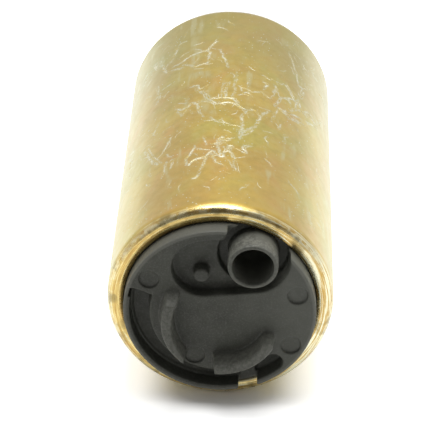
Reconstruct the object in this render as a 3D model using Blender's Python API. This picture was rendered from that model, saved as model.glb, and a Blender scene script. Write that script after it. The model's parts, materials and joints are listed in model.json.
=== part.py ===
"""Electric in-tank fuel pump, 38 mm in diameter, lying on its side.

The pump lies along Y with its inlet end towards -Y. A rolled steel can holds, from the
inlet to the outlet, a moulded inlet cover, a turbine impeller in its casing, a two-pole
motor and a moulded outlet cap with the brushes, the valves, the hose nipple and the socket.

Every shape is drawn about the pump's own axis: y runs along it from the front of the can's
inlet lip, x goes right and z goes up, seen from the inlet end.
"""

import math

import bmesh
import bpy
from mathutils import Vector

MM = 0.001

# Clearances
SEAT = 0.3 * MM              # between pieces that sit against each other
RUN = 0.1 * MM               # between the shaft and its bearings
SLIDE = 0.3 * MM             # between a sliding piece and its guide

# Facets of the round pieces
SIDES = 48                   # can, inlet cover, cap
ROTOR_SIDES = 36             # magnets, armature, commutator, impeller
SMALL_SIDES = 20             # shaft, bearings, nipples
MARK_SIDES = 14              # peg and ejector pin marks
TINY_SIDES = 10              # choke, valve ball
COIL_SIDES = 8               # one turn of a spring

# Can
CAN_RADIUS = 19.0 * MM
CAN_WALL = 1.2 * MM
CAN_LENGTH = 72.0 * MM
LIP_WIDTH = 2.55 * MM        # how far the rolled lips reach in from the outside
LIP_DEPTH = 1.45 * MM        # from the front of a lip to its back
SHOULDER = 1.9 * MM          # length of the rounded shoulder
LIP_DISH = 0.25 * MM         # how far the lip's inner edge lies behind its crest
LIP_CREST = 0.42             # part of the lip's width from its inner edge to its crest
# Two points of the shoulder's curve: part of its length, part of the lip's width
SHOULDER_CURVE = ((0.16, 0.30), (0.53, 0.08))

# Sizes across the axis follow the can through this unit: 1 mm for a cover of 16 mm radius
COVER_GAP = 0.45 * MM        # between the cover and the can's lip
LIP_BORE = CAN_RADIUS - LIP_WIDTH
COVER_RADIUS = LIP_BORE - COVER_GAP
PLAN = COVER_RADIUS / 16.0

# Inlet cover
COVER_PROUD = 2.7 * MM       # how far its face stands in front of the lip
COVER_FLANGE = 4.8 * MM      # thickness of the flange behind the lip
FACE_BEVEL = 0.25 * MM
CHANNEL_WALL = 1.05 * PLAN
CHANNEL_WIDTH = 3.3 * PLAN
CHANNEL_DEPTH = 3.3 * MM
CHANNEL_LEDGE = 0.35 * PLAN  # width of the ledge along the channel's outer wall
LEDGE_DEPTH = 2.8 * MM
RIM_STEP = 0.4 * MM          # how far the channel's outer wall lies below the face
CHANNEL_START = 162.0        # degrees, counter-clockwise from +X
SLOT_END = -47.5
SLOT_ROUND = 1.6 * PLAN      # radius of the slot's round end
SLOT_WALL = 1.0 * PLAN       # left outside the slot
CHANNEL_END_X = 3.45 * PLAN  # the channel's straight end, under the notch
SLOT_START_X = 6.1 * PLAN
NOTCH_LEFT = 3.2 * PLAN
NOTCH_RIGHT = 6.35 * PLAN
NOTCH_DEPTH = 2.7 * MM

# Pocket round the inlet nipple
POCKET_WALL = 1.65 * PLAN    # left between the pocket and the cover's rim
POCKET_LEFT_RADIUS = 5.3 * PLAN
POCKET_LEFT_X = -2.6 * PLAN
POCKET_DEPTH = 2.4 * MM
POCKET_RIGHT_RADIUS = 6.1 * PLAN
LOBE_END = -52.0             # degrees from the nipple's angle, where its lobe's arc ends
MOUTH_START = -16.5          # and where the pocket opens through the cover's rim
MOUTH_END = 22.0
MOUTH_FLARE = 3.0            # degrees over which the mouth's left side slopes
WELL_STEP = 0.3 * PLAN       # how much narrower the nipple's well is than its lobe
WELL_DEPTH = 3.6 * MM
INLET_PITCH = 11.7 * PLAN    # from the pump's axis to the nipple's
INLET_ANGLE = 62.0
INLET_RADIUS = 4.15 * PLAN
INLET_BORE = 3.42 * PLAN
INLET_PROUD = 1.8 * MM       # how far the nipple stands in front of the face
INLET_ROUND = 0.3 * MM
PORT_BORE = 2.6 * PLAN       # where the inlet meets the impeller
PEG_RADIUS = 1.3 * PLAN
PEG_X = -3.0 * PLAN
PEG_Z = 7.3 * PLAN
PEG_SHORT = 0.1 * MM         # how far the peg's end lies below the face

# Ribs on the face
RIB_HEIGHT = 3.55 * MM
RIB_LAND = 1.35 * PLAN       # face left between the channel and the right rib
RIB_WIDTH = 2.1 * PLAN
RIB_CUT_X = -0.9 * PLAN
RIB_END_ANGLE = -30.0
SIDE_RIB_HEIGHT = 3.0 * MM
SIDE_RIB_OUTER = (0.45 * PLAN, -0.43 * PLAN, 10.18 * PLAN)
SIDE_RIB_INNER = (2.65 * PLAN, -0.88 * PLAN, 10.52 * PLAN)
SIDE_RIB_TOP = 3.2 * PLAN
SIDE_RIB_CUT_X = -6.05 * PLAN

# Ejector pin marks on the face
MARK_RADIUS = 1.7 * PLAN
MARK_DEPTH = 0.4 * MM
MARKS = ((-11.6 * PLAN, 6.5 * PLAN), (12.9 * PLAN, 3.75 * PLAN),
         (11.9 * PLAN, -6.3 * PLAN), (-4.15 * PLAN, -8.6 * PLAN))

# Turbine
IMPELLER_THICKNESS = 3.8 * MM
CAVITY_WALL = 2.3 * PLAN     # between the impeller's cavity and the casing's outside
VANE_INNER = 11.3 * PLAN
VANE_LENGTH = 2.8 * PLAN
VANES = 30
VANE_THICKNESS = 0.8 * PLAN
VANE_WEB = 0.7 * MM          # web between the front and rear pockets
FLOW_DEPTH = 1.2 * MM
FLOW_END = 22.0              # degrees, where the flow channel ends at the outlet
OUTLET_PORT_SWEEP = 16.0

# Pump casing
CASING_DISC = 3.0 * MM
CASING_SKIRT = 4.0 * MM
CASING_SKIRT_WALL = 1.3 * MM
CASING_HUB_RADIUS = 6.0 * PLAN
CASING_HUB = 3.5 * MM
SHAFT_HOLE_GAP = 0.6 * MM    # round the shaft where it has no bearing

# Shaft and bearings
SHAFT_RADIUS = 2.0 * PLAN
SHAFT_CHAMFER = 0.3 * MM
DRIVE_FLAT = 1.55 * PLAN     # from the axis to each of the two flats
BEARING_WALL = 1.2 * PLAN
BEARING_LENGTH = 5.0 * MM
THRUST_PAD_RADIUS = 2.3 * PLAN
THRUST_PAD = 0.9 * MM
THRUST_POCKET = 3.0 * MM
WASHER_WALL = 1.3 * PLAN
WASHER = 0.5 * MM

# Motor
MAGNET_GAP = 0.55 * MM       # air gap
MAGNET_SWEEP = 134.0
CLIP_SHEET = 0.5 * MM
CLIP_LEG = 4.6 * PLAN
CLIP_GAP = 0.4 * MM          # between a clip's leg and the magnet
CORE_RADIUS = 10.6 * PLAN
CORE_SETBACK = 4.0 * MM      # from the magnets' ends to the core's
HUB_SHARE = 0.453            # hub's radius as part of the core's
TOOTH_SHARE = 0.283          # tooth's width, likewise
CORE_HUB = HUB_SHARE * CORE_RADIUS
SLOTS = 8
TOOTH_WIDTH = TOOTH_SHARE * CORE_RADIUS
TOOTH_TIP = 1.1 * MM
SLOT_MOUTH = 1.6 * MM
INSULATOR = 0.5 * MM
END_TURNS = 3.0 * MM
END_TURN_STEP = 0.4 * MM      # from the core's hub to the winding
END_TURN_INNER = CORE_HUB + END_TURN_STEP
COMMUTATOR_RADIUS = 9.7 * PLAN
COMMUTATOR_BASE = 2.2 * MM
COMMUTATOR_COLLAR = 1.1 * MM
BAR_THICKNESS = 1.9 * MM
BAR_GAP = 0.6 * MM
BAR_HOOK = 0.6 * MM
BAR_HOOK_LENGTH = 3.0 * MM
WINDING_TO_COMMUTATOR = 0.4 * MM

# Outlet cap
CAP_DEPTH = 20.0 * MM        # from its skirt's front edge to its shoulder
CAP_SKIRT_WALL = 1.4 * MM
CAP_PROUD = 2.0 * MM
CAP_CLEAR = 1.5 * MM         # from the commutator to the cap's floor
CAP_ROOF = 2.7 * MM
CAP_BEVEL = 0.6 * MM
SEAL_WIRE = 0.85 * MM
SEAL_SET = 6.0 * MM          # from the cap's shoulder to the seal's middle

# Brushes
BRUSH_OFFSET = 6.9 * PLAN
BRUSH_WIDTH = 4.2 * PLAN
BRUSH_HEIGHT = 4.6 * PLAN
BRUSH_LENGTH = 9.5 * MM
BRUSH_SPRING_RADIUS = 1.8 * PLAN
BRUSH_WIRE = 0.25 * MM
BRUSH_TURNS = 4
LEAD_RADIUS = 0.4 * MM
LEAD_SLOT = 3.0 * MM

# Chokes and terminals
CHOKE_X = 9.2 * PLAN
CHOKE_Z = 6.6 * PLAN
CHOKE_CORE = 1.3 * PLAN
CHOKE_WIRE = 0.5 * MM
CHOKE_TURNS = 6
CHOKE_SET = 1.0 * MM         # from the cap's floor to the choke
FOOT_LEVEL = 6.0 * MM        # from the cap's face down to the terminals' feet
BLADE_WIDTH = 2.8 * PLAN
BLADE_THICKNESS = 0.8 * MM
BLADE_Z = 3.4 * PLAN
BLADE_SHORT = 1.6 * MM       # how far the blades end below the socket's rim
SOCKET_X = 7.6 * PLAN
SOCKET_WIDTH = 6.4 * PLAN
SOCKET_LENGTH = 12.4 * PLAN
SOCKET_WALL = 1.2 * MM
SOCKET_HEIGHT = 9.3 * MM
SOCKET_FLOOR = 0.8 * MM
SOCKET_CORNER = 1.0 * MM
KEY_WIDTH = 2.4 * PLAN
KEY_DEPTH = 0.9 * MM

# Outlet nipple and check valve
OUTLET_X = -8.0 * PLAN
OUTLET_RADIUS = 4.0 * PLAN
OUTLET_BORE = 3.0 * PLAN
OUTLET_HEIGHT = 11.3 * MM
BARB_RISE = 0.6 * PLAN
BARB_LENGTH = 2.6 * MM
CHECK_PASSAGE = 1.9 * PLAN
CHECK_SEAT_BELOW = 1.5 * MM  # from the cap's face down to the seat
CHECK_HEAD = 2.0 * MM
CHECK_GAP = 0.5 * MM         # round the valve's head, where the fuel passes
CHECK_STEM = 0.8 * PLAN
CHECK_STEM_PAST = 1.2 * MM   # how far the stem reaches past the guide
CHECK_TRAVEL = 1.8 * MM
GUIDE_THICKNESS = 2.6 * MM
GUIDE_SET = 1.2 * MM         # from the nipple's end to the guide
GUIDE_RIM = 0.6 * PLAN
GUIDE_HUB = 0.6 * PLAN
GUIDE_SPOKE = 0.7 * MM
CHECK_WIRE = 0.2 * MM
CHECK_TURNS = 4

# Relief valve
RELIEF_X = -7.5 * PLAN
RELIEF_Z = -9.0 * PLAN
RELIEF_PASSAGE = 1.0 * PLAN
RELIEF_BORE = 2.1 * PLAN
RELIEF_SEAT_BELOW = 8.0 * MM
BALL_RADIUS = 1.6 * PLAN
RETAINER_THICKNESS = 1.2 * MM
RETAINER_SET = 0.4 * MM
RETAINER_BORE = 0.9 * PLAN
RELIEF_WIRE = 0.2 * MM
RELIEF_SPRING_RADIUS = 1.3 * PLAN
RELIEF_TURNS = 3

# Radii that follow from these
CAN_BORE = CAN_RADIUS - CAN_WALL
FIT_RADIUS = CAN_BORE - SEAT              # pieces that slide into the can
CHANNEL_OUTER = COVER_RADIUS - CHANNEL_WALL
CHANNEL_INNER = CHANNEL_OUTER - CHANNEL_WIDTH
CAVITY_RADIUS = FIT_RADIUS - CAVITY_WALL
IMPELLER_RADIUS = CAVITY_RADIUS - SEAT
VANE_OUTER = VANE_INNER + VANE_LENGTH
BEARING_BORE = SHAFT_RADIUS + RUN
BEARING_RADIUS = BEARING_BORE + BEARING_WALL
SHAFT_HOLE = SHAFT_RADIUS + SHAFT_HOLE_GAP
SLIP_BORE = SHAFT_RADIUS + SEAT           # pieces pressed on the shaft
MAGNET_INNER = CORE_RADIUS + MAGNET_GAP

# Places along the axis, from the front of the inlet lip
FACE = -COVER_PROUD
LIP_BACK = LIP_DEPTH + SEAT
COVER_BACK = LIP_BACK + COVER_FLANGE
CASING_FRONT = COVER_BACK + SEAT
CAVITY_FLOOR = CASING_FRONT + IMPELLER_THICKNESS + SEAT
CASING_DISC_BACK = CAVITY_FLOOR + CASING_DISC
CASING_BACK = CASING_DISC_BACK + CASING_SKIRT
HUB_BACK = CASING_DISC_BACK + CASING_HUB
BEARING_FRONT = HUB_BACK - BEARING_LENGTH
THRUST_FLOOR = COVER_BACK - THRUST_POCKET
SHAFT_FRONT = THRUST_FLOOR + SEAT + THRUST_PAD + SEAT
CAP_SHOULDER = CAN_LENGTH - LIP_DEPTH - SEAT
CAP_FRONT = CAP_SHOULDER - CAP_DEPTH
CAP_FACE = CAN_LENGTH + CAP_PROUD
MAGNET_FRONT = CASING_BACK + SEAT
MAGNET_BACK = CAP_FRONT - SEAT
CORE_FRONT = MAGNET_FRONT + CORE_SETBACK
CORE_BACK = MAGNET_BACK - CORE_SETBACK
WINDING_FRONT = CORE_FRONT - 2 * SEAT - INSULATOR - END_TURNS
WINDING_BACK = CORE_BACK + 2 * SEAT + INSULATOR + END_TURNS
COMMUTATOR_FRONT = WINDING_BACK + WINDING_TO_COMMUTATOR
BAR_FRONT = COMMUTATOR_FRONT + COMMUTATOR_BASE + SEAT
BAR_BACK = BAR_FRONT + BAR_THICKNESS
CAP_FLOOR = BAR_BACK + CAP_CLEAR
BRUSH_FRONT = BAR_BACK + SEAT
BRUSH_BACK = BRUSH_FRONT + BRUSH_LENGTH
WELL_TOP = CAP_FACE - CAP_ROOF
REAR_BEARING_FRONT = CAP_FLOOR + SEAT
REAR_BEARING_BACK = REAR_BEARING_FRONT + BEARING_LENGTH
SHAFT_BACK = REAR_BEARING_BACK + SEAT
FOOT = CAP_FACE - FOOT_LEVEL
CHOKE_FRONT = CAP_FLOOR + CHOKE_SET
CHOKE_BACK = FOOT - SEAT
SOCKET_RIM = CAP_FACE + SOCKET_HEIGHT
OUTLET_TIP = CAP_FACE + OUTLET_HEIGHT
GUIDE_BACK = OUTLET_TIP - GUIDE_SET
GUIDE_FRONT = GUIDE_BACK - GUIDE_THICKNESS
CHECK_SEAT = CAP_FACE - CHECK_SEAT_BELOW
RELIEF_SEAT = CAP_FACE - RELIEF_SEAT_BELOW
RETAINER_BACK = CAP_FACE - RETAINER_SET
RETAINER_FRONT = RETAINER_BACK - RETAINER_THICKNESS

# The pump's axis in the world: the can rests on one of its flats, and the origin lies
# under the middle of the whole pump
FRONT_END = FACE - max(RIB_HEIGHT, INLET_PROUD)
REAR_END = max(OUTLET_TIP, SOCKET_RIM)
AXIS_Y = -(FRONT_END + REAR_END) / 2
AXIS_Z = CAN_RADIUS * math.cos(math.pi / SIDES)

# Materials: base colour, roughness, metallic
FINISHES = {
    "zinc_steel": ((0.62, 0.40, 0.10), 0.30, 1.0),
    "cover_resin": ((0.075, 0.075, 0.067), 0.50, 0.0),
    "casing_resin": ((0.030, 0.028, 0.026), 0.55, 0.0),
    "cap_resin": ((0.045, 0.045, 0.042), 0.50, 0.0),
    "bronze": ((0.46, 0.27, 0.11), 0.45, 1.0),
    "steel": ((0.55, 0.55, 0.56), 0.28, 1.0),
    "spring_steel": ((0.42, 0.42, 0.43), 0.35, 1.0),
    "laminations": ((0.23, 0.23, 0.24), 0.45, 0.8),
    "ferrite": ((0.045, 0.043, 0.045), 0.70, 0.0),
    "copper": ((0.72, 0.33, 0.18), 0.32, 1.0),
    "enamelled_wire": ((0.45, 0.16, 0.05), 0.35, 0.6),
    "brass": ((0.72, 0.52, 0.22), 0.30, 1.0),
    "carbon": ((0.035, 0.035, 0.037), 0.60, 0.1),
    "insulation": ((0.42, 0.10, 0.05), 0.60, 0.0),
    "rubber": ((0.012, 0.012, 0.012), 0.75, 0.0),
    "impeller_resin": ((0.020, 0.018, 0.016), 0.45, 0.0),
    "tin": ((0.62, 0.62, 0.60), 0.35, 1.0),
}


def clear_scene():
    for obj in list(bpy.data.objects):
        bpy.data.objects.remove(obj)


def make_material(name):
    colour, roughness, metallic = FINISHES[name]
    material = bpy.data.materials.new(name)
    material.use_nodes = True
    shader = material.node_tree.nodes["Principled BSDF"]
    shader.inputs["Base Color"].default_value = (*colour, 1.0)
    shader.inputs["Roughness"].default_value = roughness
    shader.inputs["Metallic"].default_value = metallic
    material.diffuse_color = (*colour, 1.0)
    return material


def arc(centre, radius, start, end, steps):
    """Points (x, z) on an arc, angles in degrees counter-clockwise from +X."""
    points = []
    for k in range(steps + 1):
        angle = math.radians(start + (end - start) * k / steps)
        points.append((centre[0] + radius * math.cos(angle), centre[1] + radius * math.sin(angle)))
    return points


def polar(radius, degrees):
    angle = math.radians(degrees)
    return radius * math.cos(angle), radius * math.sin(angle)


def band(inner, outer, start, end, steps):
    """Outline of a ring sector about the axis."""
    return arc((0, 0), outer, start, end, steps) + arc((0, 0), inner, end, start, steps)


def rectangle(x0, x1, z0, z1):
    return [(x0, z0), (x1, z0), (x1, z1), (x0, z1)]


def turned(profile, sides, sweep=360.0, start=None):
    """Solid turned about the axis from a closed profile of (y, radius) points."""
    closed = sweep == 360.0
    first = math.pi / sides if start is None else math.radians(start)
    bm = bmesh.new()
    rings = []
    for k in range(sides if closed else sides + 1):
        angle = first + math.radians(sweep) * k / sides
        c, s = math.cos(angle), math.sin(angle)
        rings.append([bm.verts.new((r * c, y, r * s)) for y, r in profile])
    after = rings[1:] + rings[:1] if closed else rings[1:]
    for ring, following in zip(rings, after):
        for i, here in enumerate(profile):
            j = (i + 1) % len(profile)
            if here[1] == 0 and profile[j][1] == 0:
                continue
            bm.faces.new((ring[i], ring[j], following[j], following[i]))
    if not closed:
        bm.faces.new(rings[0])
        bm.faces.new(rings[-1])
    bmesh.ops.remove_doubles(bm, verts=bm.verts[:], dist=1e-7)
    bmesh.ops.recalc_face_normals(bm, faces=bm.faces[:])
    return bm


def bored(profile, sides):
    """Turned cutter, half a facet round from the turned solids that it cuts."""
    return turned(profile, sides, start=0.0)


def prism(outline, front, back):
    """Solid extruded along the axis from an outline of (x, z) points."""
    bm = bmesh.new()
    face = bm.faces.new([bm.verts.new((x, front, z)) for x, z in outline])
    swept = bmesh.ops.extrude_face_region(bm, geom=[face])
    top = [v for v in swept["geom"] if isinstance(v, bmesh.types.BMVert)]
    bmesh.ops.translate(bm, verts=top, vec=(0, back - front, 0))
    bmesh.ops.recalc_face_normals(bm, faces=bm.faces[:])
    return bm


def swept(points, radius, sides):
    """Round wire along a line of points, with flat ends."""
    bm = bmesh.new()
    rings = []
    side = None
    for k, point in enumerate(points):
        ahead = points[min(k + 1, len(points) - 1)] - points[max(k - 1, 0)]
        ahead.normalize()
        if side is None:
            side = ahead.orthogonal()
        side = (side - ahead * side.dot(ahead)).normalized()
        across = ahead.cross(side)
        ring = []
        for i in range(sides):
            angle = 2 * math.pi * i / sides
            ring.append(bm.verts.new(point + side * radius * math.cos(angle)
                                     + across * radius * math.sin(angle)))
        rings.append(ring)
    for ring, following in zip(rings, rings[1:]):
        for i in range(sides):
            j = (i + 1) % sides
            bm.faces.new((ring[i], ring[j], following[j], following[i]))
    bm.faces.new(rings[0])
    bm.faces.new(rings[-1])
    bmesh.ops.recalc_face_normals(bm, faces=bm.faces[:])
    return bm


def coil(radius, wire, front, back, turns):
    """Coil spring from front to back, with the wire's outside at the given radius."""
    steps = COIL_SIDES * turns
    middle = radius - wire
    length = back - front - 2 * wire
    points = []
    for k in range(steps + 1):
        angle = 2 * math.pi * turns * k / steps
        points.append(Vector((middle * math.cos(angle), front + wire + length * k / steps,
                              middle * math.sin(angle))))
    return swept(points, wire, 4)


def moved(bm, x=0.0, y=0.0, z=0.0):
    bmesh.ops.translate(bm, verts=bm.verts[:], vec=(x, y, z))
    return bm


class Pump:
    """The scene's objects, all placed on one empty that lies on the pump's axis."""

    def __init__(self):
        self.axis = bpy.data.objects.new("pump_axis", None)
        self.axis.location = (0, AXIS_Y, AXIS_Z)
        bpy.context.scene.collection.objects.link(self.axis)
        self.materials = {name: make_material(name) for name in FINISHES}

    def add(self, name, bm, finish, at=(0, 0, 0), smooth=40.0):
        """A piece of the pump. Its origin goes to the given place, without moving its mesh."""
        bmesh.ops.translate(bm, verts=bm.verts[:], vec=(-at[0], -at[1], -at[2]))
        mesh = bpy.data.meshes.new(name)
        bm.to_mesh(mesh)
        bm.free()
        mesh.shade_smooth()
        mesh.set_sharp_from_angle(angle=math.radians(smooth))
        mesh.materials.append(self.materials[finish])
        obj = bpy.data.objects.new(name, mesh)
        bpy.context.scene.collection.objects.link(obj)
        obj.parent = self.axis
        obj.location = at
        return obj

    def combine(self, target, operation, *tools):
        """Booleans that stay on the target, each with its own hidden tool."""
        for tool in tools:
            name = f"{target.name}_{operation.lower()}_{len(target.modifiers)}"
            helper = self.add(name, tool, target.data.materials[0].name)
            helper.hide_render = True
            helper.display_type = "WIRE"
            modifier = target.modifiers.new(name, "BOOLEAN")
            modifier.operation = operation
            modifier.object = helper

    def cut(self, target, *tools):
        self.combine(target, "DIFFERENCE", *tools)

    def fuse(self, target, *tools):
        self.combine(target, "UNION", *tools)


def build_can(pump):
    """Steel tube with both ends rolled in over the cover and the cap."""
    end = [(LIP_DISH, LIP_BORE), (0.0, LIP_BORE + LIP_CREST * LIP_WIDTH)]
    end += [(along * SHOULDER, CAN_RADIUS - inward * LIP_WIDTH)
            for along, inward in SHOULDER_CURVE]
    end.append((SHOULDER, CAN_RADIUS))
    inside = [(LIP_DEPTH, CAN_BORE), (LIP_DEPTH, LIP_BORE)]
    front = inside + end
    back = [(CAN_LENGTH - y, r) for y, r in reversed(front)]
    pump.add("can", turned(front + back, SIDES), "zinc_steel", smooth=50.0)


def pocket_outline():
    """Bean-shaped pocket: a round left lobe, a straight floor and the nipple's round lobe."""
    reach = COVER_RADIUS - POCKET_WALL
    left = (POCKET_LEFT_X, math.sqrt((reach - POCKET_LEFT_RADIUS) ** 2 - POCKET_LEFT_X ** 2))
    right = polar(INLET_PITCH, INLET_ANGLE)
    dx, dz = right[0] - left[0], right[1] - left[1]
    lean = math.degrees(math.atan2(dz, dx))
    rise = POCKET_RIGHT_RADIUS - POCKET_LEFT_RADIUS
    spread = math.degrees(math.asin(rise / math.hypot(dx, dz)))
    tangent = lean - 90.0 - spread
    top_left = math.degrees(math.atan2(left[1], left[0]))
    beyond = COVER_RADIUS + SEAT
    outline = arc(left, POCKET_LEFT_RADIUS, top_left, 360.0 + tangent, 14)
    outline += arc(right, POCKET_RIGHT_RADIUS, tangent, INLET_ANGLE + LOBE_END, 9)
    outline += arc((0, 0), beyond, INLET_ANGLE + MOUTH_START, INLET_ANGLE + MOUTH_END, 5)
    outline += arc((0, 0), reach, INLET_ANGLE + MOUTH_END + MOUTH_FLARE,
                   top_left - MOUTH_FLARE, 3)
    return outline


def channel_outline(inner, outer, start, end_x):
    """Ring sector from an angle to a straight end at x, under the axis."""
    outer_end = 360.0 - math.degrees(math.acos(end_x / outer))
    inner_end = 360.0 - math.degrees(math.acos(end_x / inner))
    return arc((0, 0), outer, start, outer_end, 20) + arc((0, 0), inner, inner_end, start, 18)


def right_rib_outline():
    outer = CHANNEL_INNER - RIB_LAND
    inner = outer - RIB_WIDTH
    middle = (outer + inner) / 2
    outer_start = -90.0 + math.degrees(math.asin(RIB_CUT_X / outer))
    inner_start = -90.0 + math.degrees(math.asin(RIB_CUT_X / inner))
    outline = arc((0, 0), outer, outer_start, RIB_END_ANGLE, 10)
    outline += arc(polar(middle, RIB_END_ANGLE), RIB_WIDTH / 2,
                   RIB_END_ANGLE, RIB_END_ANGLE + 180.0, 6)[1:-1]
    outline += arc((0, 0), inner, RIB_END_ANGLE, inner_start, 8)
    return outline


def side_rib_outline():
    """Curved rib on the left: a round top end and a straight cut at the bottom."""
    edges = []
    for x, z, radius in (SIDE_RIB_OUTER, SIDE_RIB_INNER):
        top = 180.0 - math.degrees(math.asin((SIDE_RIB_TOP - z) / radius))
        bottom = 180.0 + math.degrees(math.acos((x - SIDE_RIB_CUT_X) / radius))
        edges.append(arc((x, z), radius, top, bottom, 8))
    outer, inner = edges
    middle = ((outer[0][0] + inner[0][0]) / 2, SIDE_RIB_TOP)
    cap = arc(middle, (inner[0][0] - outer[0][0]) / 2, 0.0, 180.0, 6)[1:-1]
    return outer + inner[::-1] + cap


def build_inlet_cover(pump):
    """Moulded cover with its pocket, channel, ribs and inlet nipple."""
    cover = pump.add("inlet_cover", turned([
        (FACE, 0), (FACE, COVER_RADIUS - FACE_BEVEL), (FACE + FACE_BEVEL, COVER_RADIUS),
        (LIP_BACK, COVER_RADIUS), (LIP_BACK, FIT_RADIUS),
        (COVER_BACK, FIT_RADIUS), (COVER_BACK, 0)], SIDES), "cover_resin")
    above = FACE - SEAT
    nipple_at = polar(INLET_PITCH, INLET_ANGLE)
    well_floor = FACE + WELL_DEPTH
    well_radius = POCKET_RIGHT_RADIUS - WELL_STEP

    def below_axis(radius, x):
        """Angle of the point on a circle about the axis that lies at x, under the axis."""
        return -math.degrees(math.acos(x / radius))

    channel = channel_outline(CHANNEL_INNER, CHANNEL_OUTER - CHANNEL_LEDGE,
                              CHANNEL_START + 1.0, CHANNEL_END_X)
    ledge = channel_outline(CHANNEL_INNER + CHANNEL_WIDTH / 2, CHANNEL_OUTER,
                            CHANNEL_START, (CHANNEL_END_X + NOTCH_LEFT) / 2)
    rim = channel_outline(CHANNEL_INNER + CHANNEL_WIDTH / 3, COVER_RADIUS + SEAT,
                          CHANNEL_START + 0.5, (NOTCH_LEFT + NOTCH_RIGHT) / 2)
    slot_middle = COVER_RADIUS - SLOT_WALL - SLOT_ROUND
    slot_outer = slot_middle + SLOT_ROUND
    slot_inner = slot_middle - SLOT_ROUND
    slot = arc((0, 0), slot_outer, below_axis(slot_outer, SLOT_START_X), SLOT_END, 4)
    slot += arc(polar(slot_middle, SLOT_END), SLOT_ROUND, SLOT_END, SLOT_END + 180.0, 7)[1:-1]
    slot += arc((0, 0), slot_inner, SLOT_END, below_axis(slot_inner, SLOT_START_X), 3)

    notch_top = -math.sqrt(CHANNEL_INNER ** 2 - NOTCH_RIGHT ** 2)
    notch = rectangle(NOTCH_LEFT, NOTCH_RIGHT, -(COVER_RADIUS + SEAT), notch_top)
    pump.cut(cover,
             prism(pocket_outline(), above, FACE + POCKET_DEPTH),
             moved(bored([(above, 0), (above, well_radius), (well_floor, well_radius),
                          (well_floor, 0)], SMALL_SIDES), nipple_at[0], 0, nipple_at[1]),
             prism(rim, above, FACE + RIM_STEP),
             prism(ledge, above, FACE + LEDGE_DEPTH),
             prism(channel, above, FACE + CHANNEL_DEPTH),
             prism(slot, above, FACE + CHANNEL_DEPTH),
             prism(notch, above, FACE + NOTCH_DEPTH))
    for x, z in MARKS:
        pump.cut(cover, moved(bored([(above, 0), (above, MARK_RADIUS),
                                     (FACE + MARK_DEPTH, MARK_RADIUS),
                                     (FACE + MARK_DEPTH, 0)], MARK_SIDES), x, 0, z))

    root = well_floor + SEAT
    tip = FACE - INLET_PROUD
    peg_tip = FACE + PEG_SHORT
    nipple = turned([(tip, 0), (tip, INLET_RADIUS - INLET_ROUND),
                     (tip + INLET_ROUND, INLET_RADIUS), (root, INLET_RADIUS), (root, 0)],
                    SMALL_SIDES)
    peg = turned([(peg_tip, 0), (peg_tip, PEG_RADIUS - FACE_BEVEL),
                  (peg_tip + FACE_BEVEL, PEG_RADIUS), (root, PEG_RADIUS), (root, 0)],
                 MARK_SIDES)
    pump.fuse(cover,
              moved(nipple, nipple_at[0], 0, nipple_at[1]),
              moved(peg, PEG_X, 0, PEG_Z),
              prism(right_rib_outline(), FACE - RIB_HEIGHT, FACE + FACE_BEVEL),
              prism(side_rib_outline(), FACE - SIDE_RIB_HEIGHT, FACE + FACE_BEVEL))

    below = COVER_BACK + SEAT
    taper = (THRUST_FLOOR + COVER_BACK) / 2
    bore = bored([(tip - SEAT, 0), (tip - SEAT, INLET_BORE), (THRUST_FLOOR, INLET_BORE),
                  (taper, PORT_BORE), (below, PORT_BORE), (below, 0)], SMALL_SIDES)
    pump.cut(cover,
             moved(bore, nipple_at[0], 0, nipple_at[1]),
             bored([(THRUST_FLOOR, 0), (THRUST_FLOOR, THRUST_PAD_RADIUS + SEAT),
                    (below, THRUST_PAD_RADIUS + SEAT), (below, 0)], SMALL_SIDES),
             prism(band(VANE_INNER, VANE_OUTER, INLET_ANGLE, FLOW_END + 360.0, 20),
                   COVER_BACK - FLOW_DEPTH, below))


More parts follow.
